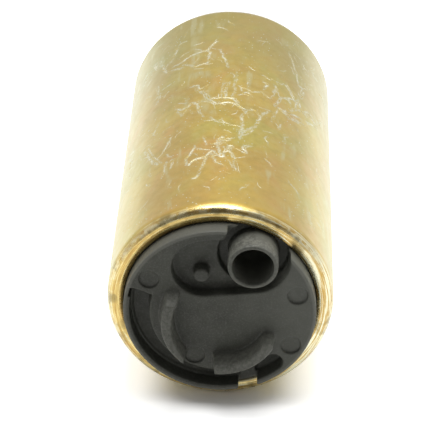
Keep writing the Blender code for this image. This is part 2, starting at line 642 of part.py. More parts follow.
def build_turbine(pump):
    """Impeller, its casing, the front bearing and the thrust pad."""
    pump.add("thrust_pad", turned([
        (THRUST_FLOOR + SEAT, 0), (THRUST_FLOOR + SEAT, THRUST_PAD_RADIUS),
        (THRUST_FLOOR + SEAT + THRUST_PAD, THRUST_PAD_RADIUS),
        (THRUST_FLOOR + SEAT + THRUST_PAD, 0)], SMALL_SIDES), "steel")

    front, back = CASING_FRONT, CASING_FRONT + IMPELLER_THICKNESS
    impeller = pump.add("impeller", turned([
        (front, SHAFT_RADIUS - SEAT), (front, IMPELLER_RADIUS), (back, IMPELLER_RADIUS),
        (back, SHAFT_RADIUS - SEAT)], ROTOR_SIDES), "impeller_resin")
    pocket_depth = (IMPELLER_THICKNESS - VANE_WEB) / 2
    for near, far in ((front - SEAT, front + pocket_depth), (back - pocket_depth, back + SEAT)):
        pockets = bmesh.new()
        for k in range(VANES):
            middle = 360.0 * k / VANES
            corners = []
            for radius, sign in ((VANE_INNER, 1), (VANE_OUTER, 1), (VANE_OUTER, -1),
                                 (VANE_INNER, -1)):
                half = 180.0 / VANES - math.degrees(VANE_THICKNESS / 2 / radius)
                corners.append(polar(radius, middle + sign * half))
            one = prism(corners, near, far)
            mesh = bpy.data.meshes.new("pocket")
            one.to_mesh(mesh)
            one.free()
            pockets.from_mesh(mesh)
            bpy.data.meshes.remove(mesh)
        pump.cut(impeller, pockets)
    flat = DRIVE_FLAT + SEAT
    hub_bore = [(x, max(-flat, min(flat, z))) for x, z in arc((0, 0), SLIP_BORE, 0, 345, 23)]
    pump.cut(impeller, prism(hub_bore, front - SEAT, back + SEAT))

    skirt_inner = FIT_RADIUS - CASING_SKIRT_WALL
    bore = BEARING_RADIUS + SEAT
    shelf = BEARING_FRONT - SEAT
    casing = pump.add("pump_casing", turned([
        (CAVITY_FLOOR, SHAFT_HOLE), (CAVITY_FLOOR, CAVITY_RADIUS), (CASING_FRONT, CAVITY_RADIUS),
        (CASING_FRONT, FIT_RADIUS), (CASING_BACK, FIT_RADIUS), (CASING_BACK, skirt_inner),
        (CASING_DISC_BACK, skirt_inner), (CASING_DISC_BACK, CASING_HUB_RADIUS),
        (HUB_BACK, CASING_HUB_RADIUS), (HUB_BACK, bore), (shelf, bore), (shelf, SHAFT_HOLE)],
        ROTOR_SIDES), "casing_resin")
    above = CAVITY_FLOOR - SEAT
    port = band(VANE_INNER, VANE_OUTER, FLOW_END - OUTLET_PORT_SWEEP, FLOW_END, 3)
    pump.cut(casing,
             prism(band(VANE_INNER, VANE_OUTER, INLET_ANGLE, FLOW_END + 360.0, 20),
                   above, CAVITY_FLOOR + FLOW_DEPTH),
             prism(port, above, CASING_DISC_BACK + SEAT))

    pump.add("lower_bearing", bush(BEARING_FRONT, HUB_BACK - SEAT), "bronze")


def bush(front, back):
    return turned([(front, BEARING_BORE), (front, BEARING_RADIUS), (back, BEARING_RADIUS),
                   (back, BEARING_BORE)], SMALL_SIDES)


def build_shaft(pump):
    shaft = pump.add("shaft", turned([
        (SHAFT_FRONT, 0), (SHAFT_FRONT, SHAFT_RADIUS - SHAFT_CHAMFER),
        (SHAFT_FRONT + SHAFT_CHAMFER, SHAFT_RADIUS), (SHAFT_BACK - SHAFT_CHAMFER, SHAFT_RADIUS),
        (SHAFT_BACK, SHAFT_RADIUS - SHAFT_CHAMFER), (SHAFT_BACK, 0)], SMALL_SIDES), "steel")
    for side in (-1, 1):
        z0, z1 = sorted((side * DRIVE_FLAT, side * 2 * SHAFT_RADIUS))
        outline = rectangle(-2 * SHAFT_RADIUS, 2 * SHAFT_RADIUS, z0, z1)
        pump.cut(shaft, prism(outline, SHAFT_FRONT - SEAT, CAVITY_FLOOR))
    places = (("front_washer", HUB_BACK + SEAT), ("rear_washer", BAR_BACK + SEAT))
    for name, y in places:
        pump.add(name, turned([(y, SLIP_BORE), (y, SLIP_BORE + WASHER_WALL),
                               (y + WASHER, SLIP_BORE + WASHER_WALL), (y + WASHER, SLIP_BORE)],
                              SMALL_SIDES), "insulation")


def tooth_outline(grow=0.0, tips=True):
    """Star of the laminations; grow thickens every tooth, for the winding's clearance."""
    outline = []
    pitch = 360.0 / SLOTS
    half = TOOTH_WIDTH / 2 + grow
    hub = CORE_HUB + grow
    neck = CORE_RADIUS - TOOTH_TIP
    for k in range(SLOTS):
        middle = pitch * k
        root = math.degrees(math.asin(half / hub))
        if tips:
            mouth = pitch / 2 - math.degrees(SLOT_MOUTH / 2 / CORE_RADIUS)
            shoulder = math.degrees(math.asin(half / neck))
            points = [(hub, root), (neck - grow, shoulder), (CORE_RADIUS - TOOTH_TIP / 2, mouth)]
            rim = [(CORE_RADIUS, mouth), (CORE_RADIUS, mouth / 3)]
        else:
            points = [(hub, root), (neck, math.degrees(math.asin(half / neck)))]
            rim = []
        shape = [(r, -a) for r, a in points + rim] + [(r, a) for r, a in (points + rim)[::-1]]
        outline += [polar(r, middle + a) for r, a in shape]
    return outline


def build_armature(pump):
    """Laminated core, its insulators, the winding and the commutator."""
    hole = bored([(WINDING_FRONT, 0), (WINDING_FRONT, SLIP_BORE), (COMMUTATOR_FRONT, SLIP_BORE),
                  (COMMUTATOR_FRONT, 0)], SMALL_SIDES)
    core = pump.add("armature_core", prism(tooth_outline(), CORE_FRONT, CORE_BACK), "laminations")
    pump.cut(core, hole)
    for name, y in (("front_insulator", CORE_FRONT - SEAT - INSULATOR),
                    ("rear_insulator", CORE_BACK + SEAT)):
        sheet = pump.add(name, prism(tooth_outline(tips=False), y, y + INSULATOR), "insulation")
        pump.cut(sheet, bored([(y - SEAT, 0), (y - SEAT, SLIP_BORE),
                               (y + INSULATOR + SEAT, SLIP_BORE), (y + INSULATOR + SEAT, 0)],
                              SMALL_SIDES))

    outer = CORE_RADIUS - TOOTH_TIP - SEAT
    round_off = END_TURNS / 3
    front_face = CORE_FRONT - 2 * SEAT - INSULATOR
    back_face = CORE_BACK + 2 * SEAT + INSULATOR
    winding = pump.add("armature_winding", turned([
        (WINDING_FRONT, END_TURN_INNER + round_off), (WINDING_FRONT, outer - round_off),
        (WINDING_FRONT + round_off, outer), (front_face, outer), (front_face, END_TURN_INNER),
        (WINDING_FRONT + round_off, END_TURN_INNER)], ROTOR_SIDES), "enamelled_wire")
    pump.fuse(winding, turned([
        (WINDING_BACK, END_TURN_INNER + round_off), (WINDING_BACK, outer - round_off),
        (WINDING_BACK - round_off, outer), (back_face, outer), (back_face, END_TURN_INNER),
        (WINDING_BACK - round_off, END_TURN_INNER)], ROTOR_SIDES))
    half_slot = math.radians(180.0 / SLOTS)
    clear = TOOTH_WIDTH / 2 + SEAT
    for k in range(SLOTS):
        middle = 360.0 * (k + 0.5) / SLOTS
        corners = []
        for radius in (END_TURN_INNER + SEAT, outer - SEAT):
            spread = (radius * math.sin(half_slot) - clear) / math.cos(half_slot)
            corners.append((math.hypot(radius, spread), math.degrees(math.atan2(spread, radius))))
        (r0, a0), (r1, a1) = corners
        outline = [polar(r0, middle - a0), polar(r1, middle - a1), polar(r1, middle + a1),
                   polar(r0, middle + a0)]
        pump.fuse(winding, prism(outline, front_face - END_TURNS / 2, back_face + END_TURNS / 2))

    base = COMMUTATOR_RADIUS - BAR_HOOK - SEAT
    collar = SLIP_BORE + COMMUTATOR_COLLAR
    top = COMMUTATOR_FRONT + COMMUTATOR_BASE
    pump.add("commutator_hub", turned([
        (COMMUTATOR_FRONT, SLIP_BORE), (COMMUTATOR_FRONT, base), (top, base), (top, collar),
        (BAR_BACK - SEAT, collar), (BAR_BACK - SEAT, SLIP_BORE)], ROTOR_SIDES), "casing_resin")
    inner = collar + SEAT
    hook = BAR_BACK - BAR_HOOK_LENGTH
    pitch = 360.0 / SLOTS
    for k in range(SLOTS):
        gap = math.degrees(BAR_GAP / inner)
        bar = turned([(BAR_FRONT, inner), (BAR_BACK, inner), (BAR_BACK, COMMUTATOR_RADIUS),
                      (hook, COMMUTATOR_RADIUS), (hook, COMMUTATOR_RADIUS - BAR_HOOK),
                      (BAR_FRONT, COMMUTATOR_RADIUS - BAR_HOOK)], 4,
                     pitch - gap, pitch * k + gap / 2)
        pump.add(f"commutator_bar_{k + 1}", bar, "copper")


def build_field(pump):
    """Two magnets held apart by sprung clips."""
    gap_half = (180.0 - MAGNET_SWEEP) / 2
    for name, middle in (("magnet_a", 0.0), ("magnet_b", 180.0)):
        section = [(MAGNET_FRONT, MAGNET_INNER), (MAGNET_FRONT, FIT_RADIUS),
                   (MAGNET_BACK, FIT_RADIUS), (MAGNET_BACK, MAGNET_INNER)]
        pump.add(name, turned(section, 18, MAGNET_SWEEP, middle - MAGNET_SWEEP / 2), "ferrite")
    foot = FIT_RADIUS - CLIP_LEG
    outer_half = gap_half - math.degrees(CLIP_GAP / foot)
    inner_half = outer_half - math.degrees(CLIP_SHEET / foot)
    under = FIT_RADIUS - CLIP_SHEET
    for name, middle in (("magnet_clip_a", 90.0), ("magnet_clip_b", 270.0)):
        outline = [polar(foot, middle - outer_half)]
        outline += arc((0, 0), FIT_RADIUS, middle - outer_half, middle + outer_half, 6)
        outline += [polar(foot, middle + outer_half), polar(foot, middle + inner_half)]
        outline += arc((0, 0), under, middle + inner_half, middle - inner_half, 6)
        outline.append(polar(foot, middle - inner_half))
        pump.add(name, prism(outline, MAGNET_FRONT + SEAT, MAGNET_BACK - SEAT), "spring_steel")


def brush_well(side):
    z = side * BRUSH_OFFSET
    half_x = BRUSH_WIDTH / 2 + SLIDE
    half_z = BRUSH_HEIGHT / 2 + SLIDE
    return rectangle(-half_x, half_x, z - half_z, z + half_z)


def rounded_rectangle(cx, half_x, half_z, corner):
    outline = []
    for sx, sz, start in ((1, 1, 0), (-1, 1, 90), (-1, -1, 180), (1, -1, 270)):
        centre = (cx + sx * (half_x - corner), sz * (half_z - corner))
        outline += arc(centre, corner, start, start + 90, 3)
    return outline


def build_end_cap(pump):
    """Moulded outlet cap: brush wells, rear bearing seat, valves, nipple and socket."""
    skirt_inner = FIT_RADIUS - CAP_SKIRT_WALL
    groove = FIT_RADIUS - 2 * SEAL_WIRE - SEAT
    seal = CAP_SHOULDER - SEAL_SET
    half_groove = SEAL_WIRE + SEAT
    cap = pump.add("end_cap", turned([
        (CAP_FLOOR, 0), (CAP_FLOOR, skirt_inner), (CAP_FRONT, skirt_inner),
        (CAP_FRONT, FIT_RADIUS), (seal - half_groove, FIT_RADIUS), (seal - half_groove, groove),
        (seal + half_groove, groove), (seal + half_groove, FIT_RADIUS),
        (CAP_SHOULDER, FIT_RADIUS), (CAP_SHOULDER, COVER_RADIUS),
        (CAP_FACE - CAP_BEVEL, COVER_RADIUS), (CAP_FACE, COVER_RADIUS - CAP_BEVEL),
        (CAP_FACE, 0)], SIDES), "cap_resin")

    tip = OUTLET_TIP
    barb = OUTLET_RADIUS + BARB_RISE
    nipple = turned([
        (CAP_FACE - SEAT, 0), (CAP_FACE - SEAT, OUTLET_RADIUS), (tip - 2 * BARB_LENGTH, OUTLET_RADIUS),
        (tip - 2 * BARB_LENGTH, barb), (tip - BARB_LENGTH, OUTLET_RADIUS),
        (tip - BARB_LENGTH, barb), (tip, OUTLET_RADIUS - BARB_RISE / 2), (tip, 0)], SMALL_SIDES)
    half_x = SOCKET_WIDTH / 2
    half_z = SOCKET_LENGTH / 2
    shell = rounded_rectangle(SOCKET_X, half_x + SOCKET_WALL, half_z + SOCKET_WALL,
                              SOCKET_CORNER + SOCKET_WALL)
    pump.fuse(cap, moved(nipple, OUTLET_X), prism(shell, CAP_FACE - SEAT, SOCKET_RIM))

    below = CAP_FLOOR - SEAT
    bearing_bore = BEARING_RADIUS + SEAT
    cone_rise = OUTLET_BORE - CHECK_PASSAGE
    relief_rise = RELIEF_BORE - RELIEF_PASSAGE
    pump.cut(cap,
             prism(rounded_rectangle(SOCKET_X, half_x, half_z, SOCKET_CORNER),
                   CAP_FACE + SOCKET_FLOOR, SOCKET_RIM + SEAT),
             prism(rectangle(SOCKET_X + half_x - SEAT, SOCKET_X + half_x + KEY_DEPTH,
                             -KEY_WIDTH / 2, KEY_WIDTH / 2),
                   CAP_FACE + SOCKET_FLOOR, SOCKET_RIM + SEAT),
             bored([(below, 0), (below, bearing_bore), (REAR_BEARING_BACK + SEAT, bearing_bore),
                    (REAR_BEARING_BACK + SEAT, SHAFT_HOLE), (SHAFT_BACK + 2 * SEAT, SHAFT_HOLE),
                    (SHAFT_BACK + 2 * SEAT, 0)], SMALL_SIDES),
             moved(bored([(below, 0), (below, CHECK_PASSAGE), (CHECK_SEAT, CHECK_PASSAGE),
                          (CHECK_SEAT + cone_rise, OUTLET_BORE), (tip + SEAT, OUTLET_BORE),
                          (tip + SEAT, 0)], SMALL_SIDES), OUTLET_X),
             moved(bored([(below, 0), (below, RELIEF_PASSAGE), (RELIEF_SEAT, RELIEF_PASSAGE),
                          (RELIEF_SEAT + relief_rise, RELIEF_BORE),
                          (CAP_FACE + SEAT, RELIEF_BORE), (CAP_FACE + SEAT, 0)], MARK_SIDES),
                   RELIEF_X, 0, RELIEF_Z))
    choke_bore = CHOKE_CORE + 2 * SEAT + 2 * CHOKE_WIRE
    half_blade = BLADE_WIDTH / 2 + SEAT
    for side in (-1, 1):
        lane = side * (BLADE_Z - BLADE_THICKNESS / 2 - SEAT)
        foot_end = side * (CHOKE_Z + CHOKE_CORE)
        blade_end = side * (BLADE_Z + BLADE_THICKNESS / 2 + SEAT)
        slot_z = sorted((lane, blade_end))
        foot_z = sorted((lane, foot_end))
        lead_z = sorted((side * (CHOKE_Z - 2 * LEAD_RADIUS), side * (CHOKE_Z + 2 * LEAD_RADIUS)))
        foot_roof = FOOT + BLADE_THICKNESS + SEAT
        pump.cut(cap,
                 prism(brush_well(side), below, WELL_TOP),
                 moved(bored([(below, 0), (below, choke_bore), (FOOT, choke_bore), (FOOT, 0)],
                             MARK_SIDES), CHOKE_X, 0, side * CHOKE_Z),
                 prism(rectangle(SOCKET_X - half_blade, SOCKET_X + half_blade, *foot_z),
                       FOOT - SEAT, foot_roof),
                 prism(rectangle(SOCKET_X - half_blade, SOCKET_X + half_blade, *slot_z),
                       FOOT, CAP_FACE + SOCKET_FLOOR + SEAT),
                 prism(rectangle(0, CHOKE_X, *lead_z), below, CAP_FLOOR + LEAD_SLOT))

    wire = [(seal + SEAL_WIRE * math.cos(a), FIT_RADIUS - SEAL_WIRE + SEAL_WIRE * math.sin(a))
            for a in (2 * math.pi * k / 6 for k in range(6))]
    pump.add("cap_seal", turned(wire, ROTOR_SIDES), "rubber")
    pump.add("upper_bearing", bush(REAR_BEARING_FRONT, REAR_BEARING_BACK), "bronze")


def build_brushes(pump):
    """Brushes, their springs and leads, and the chokes and terminals that feed them."""
    for side, letter in ((1, "a"), (-1, "b")):
        z = side * BRUSH_OFFSET
        half_x, half_z = BRUSH_WIDTH / 2, BRUSH_HEIGHT / 2
        pump.add(f"brush_{letter}",
                 prism(rectangle(-half_x, half_x, z - half_z, z + half_z),
                       BRUSH_FRONT, BRUSH_BACK), "carbon", at=(0, BRUSH_FRONT, z))
        pump.add(f"brush_spring_{letter}",
                 moved(coil(BRUSH_SPRING_RADIUS, BRUSH_WIRE, BRUSH_BACK + SEAT, WELL_TOP - SEAT,
                            BRUSH_TURNS), 0, 0, z), "spring_steel")

        middle = CHOKE_FRONT + (CHOKE_BACK - CHOKE_FRONT) / 2
        winding_length = 2 * CHOKE_WIRE * CHOKE_TURNS
        core_x, core_z = CHOKE_X, side * CHOKE_Z
        pump.add(f"choke_core_{letter}",
                 moved(turned([(CHOKE_FRONT, 0), (CHOKE_FRONT, CHOKE_CORE),
                               (CHOKE_BACK, CHOKE_CORE), (CHOKE_BACK, 0)], TINY_SIDES),
                       core_x, 0, core_z), "ferrite")
        inner = CHOKE_CORE + SEAT
        profile = [(middle - winding_length / 2, inner)]
        for k in range(CHOKE_TURNS):
            y = middle - winding_length / 2 + 2 * CHOKE_WIRE * k
            profile += [(y, inner + CHOKE_WIRE), (y + CHOKE_WIRE, inner + 2 * CHOKE_WIRE)]
        end = middle + winding_length / 2
        profile += [(end, inner + CHOKE_WIRE), (end, inner)]
        pump.add(f"choke_winding_{letter}",
                 moved(turned(profile, TINY_SIDES), core_x, 0, core_z), "enamelled_wire")

        start = Vector((half_x + 2 * SEAT, CAP_FLOOR + LEAD_SLOT / 2, side * CHOKE_Z))
        finish = Vector((CHOKE_X - CHOKE_CORE - LEAD_RADIUS, CHOKE_FRONT - 2 * LEAD_RADIUS
                         + SEAT, side * CHOKE_Z))
        route = []
        for k in range(7):
            t = k / 6
            sag = LEAD_RADIUS * math.sin(math.pi * t)
            route.append(start.lerp(finish, t) + Vector((0, sag, 0)))
        pump.add(f"brush_lead_{letter}", swept(route, LEAD_RADIUS, 6), "copper")

    blade_tip = SOCKET_RIM - BLADE_SHORT
    for side, name in ((1, "terminal_positive"), (-1, "terminal_negative")):
        near = BLADE_Z - BLADE_THICKNESS / 2
        far = BLADE_Z + BLADE_THICKNESS / 2
        toe = CHOKE_Z + CHOKE_CORE - SEAT
        half = BLADE_WIDTH / 2
        section = [(FOOT, near), (blade_tip - BLADE_THICKNESS, near), (blade_tip, BLADE_Z),
                   (blade_tip - BLADE_THICKNESS, far), (FOOT + BLADE_THICKNESS, far),
                   (FOOT + BLADE_THICKNESS, toe), (FOOT, toe)]
        bm = bmesh.new()
        face = bm.faces.new([bm.verts.new((SOCKET_X - half, y, side * z)) for y, z in section])
        pulled = bmesh.ops.extrude_face_region(bm, geom=[face])
        top = [v for v in pulled["geom"] if isinstance(v, bmesh.types.BMVert)]
        bmesh.ops.translate(bm, verts=top, vec=(BLADE_WIDTH, 0, 0))
        bmesh.ops.recalc_face_normals(bm, faces=bm.faces[:])
        pump.add(name, bm, "tin")


def build_valves(pump):
    """Spring-loaded check valve in the outlet nipple, and the relief ball beside it."""
    lift = SEAT * math.sqrt(2)    # both seats are cones of 45 degrees
    head_outer = OUTLET_BORE - CHECK_GAP
    head_inner = CHECK_PASSAGE - SEAT
    head_front = CHECK_SEAT + head_inner - CHECK_PASSAGE + lift
    head_edge = CHECK_SEAT + head_outer - CHECK_PASSAGE + lift
    head_back = head_front + CHECK_HEAD
    stem_end = GUIDE_BACK - CHECK_TRAVEL + CHECK_STEM_PAST
    pump.add("check_valve", moved(turned([
        (head_front, 0), (head_front, head_inner), (head_edge, head_outer),
        (head_back, head_outer), (head_back, CHECK_STEM), (stem_end, CHECK_STEM),
        (stem_end, 0)], SMALL_SIDES), OUTLET_X), "rubber", at=(OUTLET_X, head_front, 0))

    rim_outer = OUTLET_BORE - SEAT
    hub_inner = CHECK_STEM + SLIDE
    hub_outer = hub_inner + GUIDE_HUB
    guide = pump.add("check_guide", moved(turned([
        (GUIDE_FRONT, rim_outer - GUIDE_RIM), (GUIDE_FRONT, rim_outer), (GUIDE_BACK, rim_outer),
        (GUIDE_BACK, rim_outer - GUIDE_RIM)], SMALL_SIDES), OUTLET_X), "cap_resin")
    pump.fuse(guide, moved(turned([
        (GUIDE_FRONT, hub_inner), (GUIDE_FRONT, hub_outer), (GUIDE_BACK, hub_outer),
        (GUIDE_BACK, hub_inner)], SMALL_SIDES), OUTLET_X))
    for k in range(3):
        angle = 120.0 * k + 90.0
        near, far = hub_inner + GUIDE_HUB / 2, rim_outer - GUIDE_RIM / 2
        ux, uz = polar(1.0, angle)
        half = GUIDE_SPOKE / 2
        spoke = [(OUTLET_X + ux * r + s * uz * half, uz * r - s * ux * half)
                 for r, s in ((near, 1), (far, 1), (far, -1), (near, -1))]
        pump.fuse(guide, prism(spoke, GUIDE_FRONT + SEAT, GUIDE_BACK - SEAT))
    pump.add("check_spring", moved(coil(head_outer - SEAT, CHECK_WIRE, head_back + SEAT,
                                        GUIDE_FRONT - SEAT, CHECK_TURNS), OUTLET_X),
             "spring_steel")

    ball_y = RELIEF_SEAT - RELIEF_PASSAGE + (BALL_RADIUS + SEAT) * math.sqrt(2)
    profile = [(ball_y - BALL_RADIUS * math.cos(math.pi * k / 8),
                BALL_RADIUS * math.sin(math.pi * k / 8)) for k in range(1, 8)]
    profile = [(ball_y - BALL_RADIUS, 0)] + profile + [(ball_y + BALL_RADIUS, 0)]
    pump.add("relief_ball", moved(turned(profile, TINY_SIDES), RELIEF_X, 0, RELIEF_Z), "steel",
             at=(RELIEF_X, ball_y, RELIEF_Z))
    pump.add("relief_retainer", moved(turned([
        (RETAINER_FRONT, RETAINER_BORE), (RETAINER_FRONT, RELIEF_BORE - SEAT),
        (RETAINER_BACK, RELIEF_BORE - SEAT), (RETAINER_BACK, RETAINER_BORE)], MARK_SIDES),
        RELIEF_X, 0, RELIEF_Z), "brass")
    touch = math.sqrt(BALL_RADIUS ** 2 - (RELIEF_SPRING_RADIUS - RELIEF_WIRE) ** 2)
    pump.add("relief_spring", moved(coil(
        RELIEF_SPRING_RADIUS, RELIEF_WIRE, ball_y + touch + SEAT, RETAINER_FRONT - SEAT,
        RELIEF_TURNS), RELIEF_X, 0, RELIEF_Z), "spring_steel")


def main():
    clear_scene()
    pump = Pump()
    build_can(pump)
    build_inlet_cover(pump)
    build_turbine(pump)
    build_shaft(pump)
    build_armature(pump)
    build_field(pump)
    build_end_cap(pump)
    build_brushes(pump)
    build_valves(pump)


main()
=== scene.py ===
"""Looks of the in-tank fuel pump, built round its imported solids.

The rolled can, the moulded inlet cover and the moulded outlet cap are replaced by finer pieces
of the same size. All other solids stay and get better materials. Lengths in the shape code are
millimetres about the pump's own axis: y runs from the front of the can's inlet lip to the
outlet, x goes right and z goes up.
"""

import json
import math

import bmesh
import bpy
import numpy as np
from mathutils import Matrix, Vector, geometry, kdtree, noise


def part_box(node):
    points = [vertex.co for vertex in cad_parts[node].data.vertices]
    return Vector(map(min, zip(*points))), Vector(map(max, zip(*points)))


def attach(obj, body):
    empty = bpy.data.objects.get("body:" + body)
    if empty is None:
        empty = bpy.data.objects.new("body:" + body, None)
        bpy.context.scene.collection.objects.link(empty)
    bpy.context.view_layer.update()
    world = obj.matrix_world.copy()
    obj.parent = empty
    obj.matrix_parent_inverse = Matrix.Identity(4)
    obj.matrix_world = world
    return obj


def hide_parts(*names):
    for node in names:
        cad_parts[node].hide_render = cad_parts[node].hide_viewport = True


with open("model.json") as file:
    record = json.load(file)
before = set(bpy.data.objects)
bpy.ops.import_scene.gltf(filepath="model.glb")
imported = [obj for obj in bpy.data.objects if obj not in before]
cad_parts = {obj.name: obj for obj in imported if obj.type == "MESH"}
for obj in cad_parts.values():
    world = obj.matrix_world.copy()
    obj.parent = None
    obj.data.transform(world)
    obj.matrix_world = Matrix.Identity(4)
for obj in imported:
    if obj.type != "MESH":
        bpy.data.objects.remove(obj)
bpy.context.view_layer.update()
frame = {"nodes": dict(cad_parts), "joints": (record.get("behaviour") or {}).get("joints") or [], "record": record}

MM = 0.001
CAN_LOW, CAN_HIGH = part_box("can")
AXIS_Y = CAN_LOW.y / MM
AXIS_Z = frame["joints"][0]["pos_m"][2] / MM

# Can
CAN_RADIUS = 18.95
CAN_BORE = 17.8
CAN_LENGTH = (CAN_HIGH.y - CAN_LOW.y) / MM
CAN_SIDES = 288
WALL_START = 2.1        # where the roll of the lip ends and the straight wall starts
LIP_BORE = 16.22
LIP_DEPTH = 1.45
SCRATCH_HALF = 0.12     # half width and depth of a scratch of relative width 1
SCRATCH_DEPTH = 0.03
SCRATCH_STEP = 0.35
SCRATCH_SEED = 7
FAR_GROUPS = 16
NICKS = 330
ANY_HEADING = 6.28      # radians, about a full turn
RUB_REACH = 1.1         # how far the film is rubbed beside a scratch, and how fast that fades
RUB_FALL = 0.36

# Inlet cover: depths and heights are from its face; FACE, COVER_BACK, FLANGE_FRONT and PORT_FRONT
# are places along the axis, and angles are degrees from the right
FACE = -2.7
COVER_RADIUS = 16.0
COVER_BACK = 6.55
FLANGE_FRONT = 1.75
FIT_RADIUS = 17.5       # flange and cap where they fit into the can
POCKET_DEPTH = 2.4
POCKET_REACH = COVER_RADIUS - 1.65
POCKET_LEFT_X = -2.6
POCKET_LEFT_RADIUS = 5.3
POCKET_RIGHT_RADIUS = 6.1
INLET = (5.493, 10.331)
INLET_RECESS = 5.85
INLET_RECESS_DEPTH = 4.2
NIPPLE_RADIUS = 4.15
NIPPLE_BORE = 3.42
NIPPLE_HEIGHT = 1.8
PORT_RADIUS = 2.6       # where the inlet bore and the shaft's recess open into the pump
PORT_FRONT = 3.55
PEG = (-3.0, 7.3)
PEG_RADIUS = 1.3
# Bands of the channel: inner and outer radius, start in degrees, x of the straight end
CHANNEL_INNER = 11.65
CHANNEL = (CHANNEL_INNER, 14.6, 163.0, 3.45)
CHANNEL_DEPTH = 3.3
LEDGE = (13.2, 14.98, 162.0, 3.3)
LEDGE_DEPTH = 2.8
RIM = (12.7, 17.0, 162.5, 4.8)
RIM_STEP = 0.12
CHANNEL_START_DEPTH = 2.6
SLOT_MIDDLE = 13.4
SLOT_HALF = 1.6
SLOT_ANGLE = -47.5
SLOT_LEFT = 6.1
NOTCH_LEFT = 3.2
NOTCH_RIGHT = 6.35
NOTCH_DEPTH = 2.7
MARKS = ((-11.6, 6.5), (12.9, 3.75), (11.9, -6.3), (-4.15, -8.6))
MARK_RADIUS = 1.7
MARK_DEPTH = 0.45
RIGHT_RIB_HEIGHT = 3.55
RIGHT_RIB_OUTER = 10.3
RIGHT_RIB_INNER = 8.2
RIGHT_RIB_LEFT_X = -0.9
RIGHT_RIB_END = -30.0
SIDE_RIB_HEIGHT = 3.45
SIDE_RIB_ARCS = ((0.45, -0.43, 10.20), (2.65, -0.88, 10.38))    # centre and radius
SIDE_RIB_TOP = 3.9
SIDE_RIB_LOW_X = -5.75
RIB_DRAFT = 0.09
RIB_END_SLOPE = 0.26
FLOW_OUTER = 14.1       # the pump's flow channel in the cover's back
FLOW_INNER = 11.3
FLOW_START = 62.0
FLOW_END = 382.0
FLOW_DEPTH = 1.2

# Outlet cap
CAP_SHOULDER = CAN_LENGTH - 1.75
CAP_FACE = CAN_LENGTH + 2.0
CAP_FRONT = CAP_SHOULDER - 20.0
CAP_FLOOR = CAP_FRONT + 6.1
CAP_BORE = 16.1
SEAL_INSET = 6.0        # the seal's groove: middle in from the shoulder, half width, bottom
SEAL_HALF = 1.15
SEAL_RADIUS = 15.5
OUTLET = (-8.0, 0.0)
OUTLET_TIP = CAP_FACE + 11.3
NECK_RADIUS = 4.0
BARB_RADIUS = 4.6
VALVE_BORE = 3.0
VALVE_PORT = 1.9
RELIEF = (-7.5, -9.0)
RELIEF_BORE = 2.1
RELIEF_PORT = 1.0
CHOKE_X = 9.2
CHOKE_Z = 6.6
CHOKE_BORE = 2.9
SOCKET_X = 7.6
SOCKET_HALF_X = 3.2
SOCKET_HALF_Z = 6.2
SOCKET_WALL = 1.2
SOCKET_LENGTH = 9.3

MOST_TRIANGLES = 165000     # in each of the two mouldings


# Fields: signed distances on a box grid, negative inside the solid

def smax(a, b, k):
    """Larger of two fields, rounded over a width k where they meet."""
    h = np.maximum(k - np.abs(a - b), 0.0) / k
    return np.maximum(a, b) + h * h * k / 4


def smin(a, b, k):
    return -smax(-a, -b, k)


def steps(*stops):
    """Grid positions from (place, step) pairs: each step holds up to the next place."""
    out = []
    for (a, step), (b, _) in zip(stops, stops[1:]):
        n = max(1, round((b - a) / step))
        out += [a + (b - a) * i / n for i in range(n)]
    out.append(stops[-1][0])
    return np.array(out, np.float32)


class Grid:
    """Box grid about the pump's axis, and the shapes that fields are made of."""

    def __init__(self, reach, step, ys):
        n = round(2 * reach / step)
        line = np.linspace(-reach, reach, n + 1).astype(np.float32)
        self.axes = (line, ys, line)
        self.x = line[:, None, None]
        self.y = ys[None, :, None]
        self.z = line[None, None, :]

    def round(self, radius, at=(0.0, 0.0)):
        """Endless cylinder along the pump's axis."""
        return np.hypot(self.x - at[0], self.z - at[1]) - radius

    def outline(self, points):
        """Distance to a closed outline of (x, z) points, seen along the axis."""
        px, pz = self.x[:, :, 0], self.z[:, 0, :]
        best = np.full((px.shape[0], pz.shape[1]), 1e9, np.float32)
        inside = np.zeros(best.shape, bool)
        for (x0, z0), (x1, z1) in zip(points, points[1:] + points[:1]):
            dx, dz = x1 - x0, z1 - z0
            t = np.clip(((px - x0) * dx + (pz - z0) * dz) / (dx * dx + dz * dz + 1e-12), 0, 1)
            best = np.minimum(best, np.hypot(px - x0 - t * dx, pz - z0 - t * dz))
            if z0 != z1:
                crosses = (z0 > pz) != (z1 > pz)
                inside ^= crosses & (px < x0 + (pz - z0) * dx / dz)
        return np.where(inside, -best, best)[:, None, :]

    def bored(self, profile, at=(0.0, 0.0)):
        """Hole about an axis whose radius follows (y, radius) points."""
        ys, rs = zip(*profile)
        radius = np.interp(self.axes[1], ys, rs)[None, :, None]
        hole = np.hypot(self.x - at[0], self.z - at[1]) - radius
        return np.maximum(hole, np.maximum(ys[0] - self.y, self.y - ys[-1])).astype(np.float32)


def sample(values, axes, points):
    """Trilinear values at points, for one or more fields on the same grid."""
    cells, parts = [], []
    for axis, p in zip(axes, points.T):
        i = np.clip(np.searchsorted(axis, p) - 1, 0, len(axis) - 2)
        cells.append(i)
        parts.append((p - axis[i]) / (axis[i + 1] - axis[i]))
    out = [np.zeros(len(points)) for _ in values]
    for a in (0, 1):
        for b in (0, 1):
            for c in (0, 1):
                weight = (np.abs(1 - a - parts[0]) * np.abs(1 - b - parts[1])
                          * np.abs(1 - c - parts[2]))
                for k, v in enumerate(values):
                    out[k] += weight * v[cells[0] + a, cells[1] + b, cells[2] + c]
    return np.stack(out, 1)


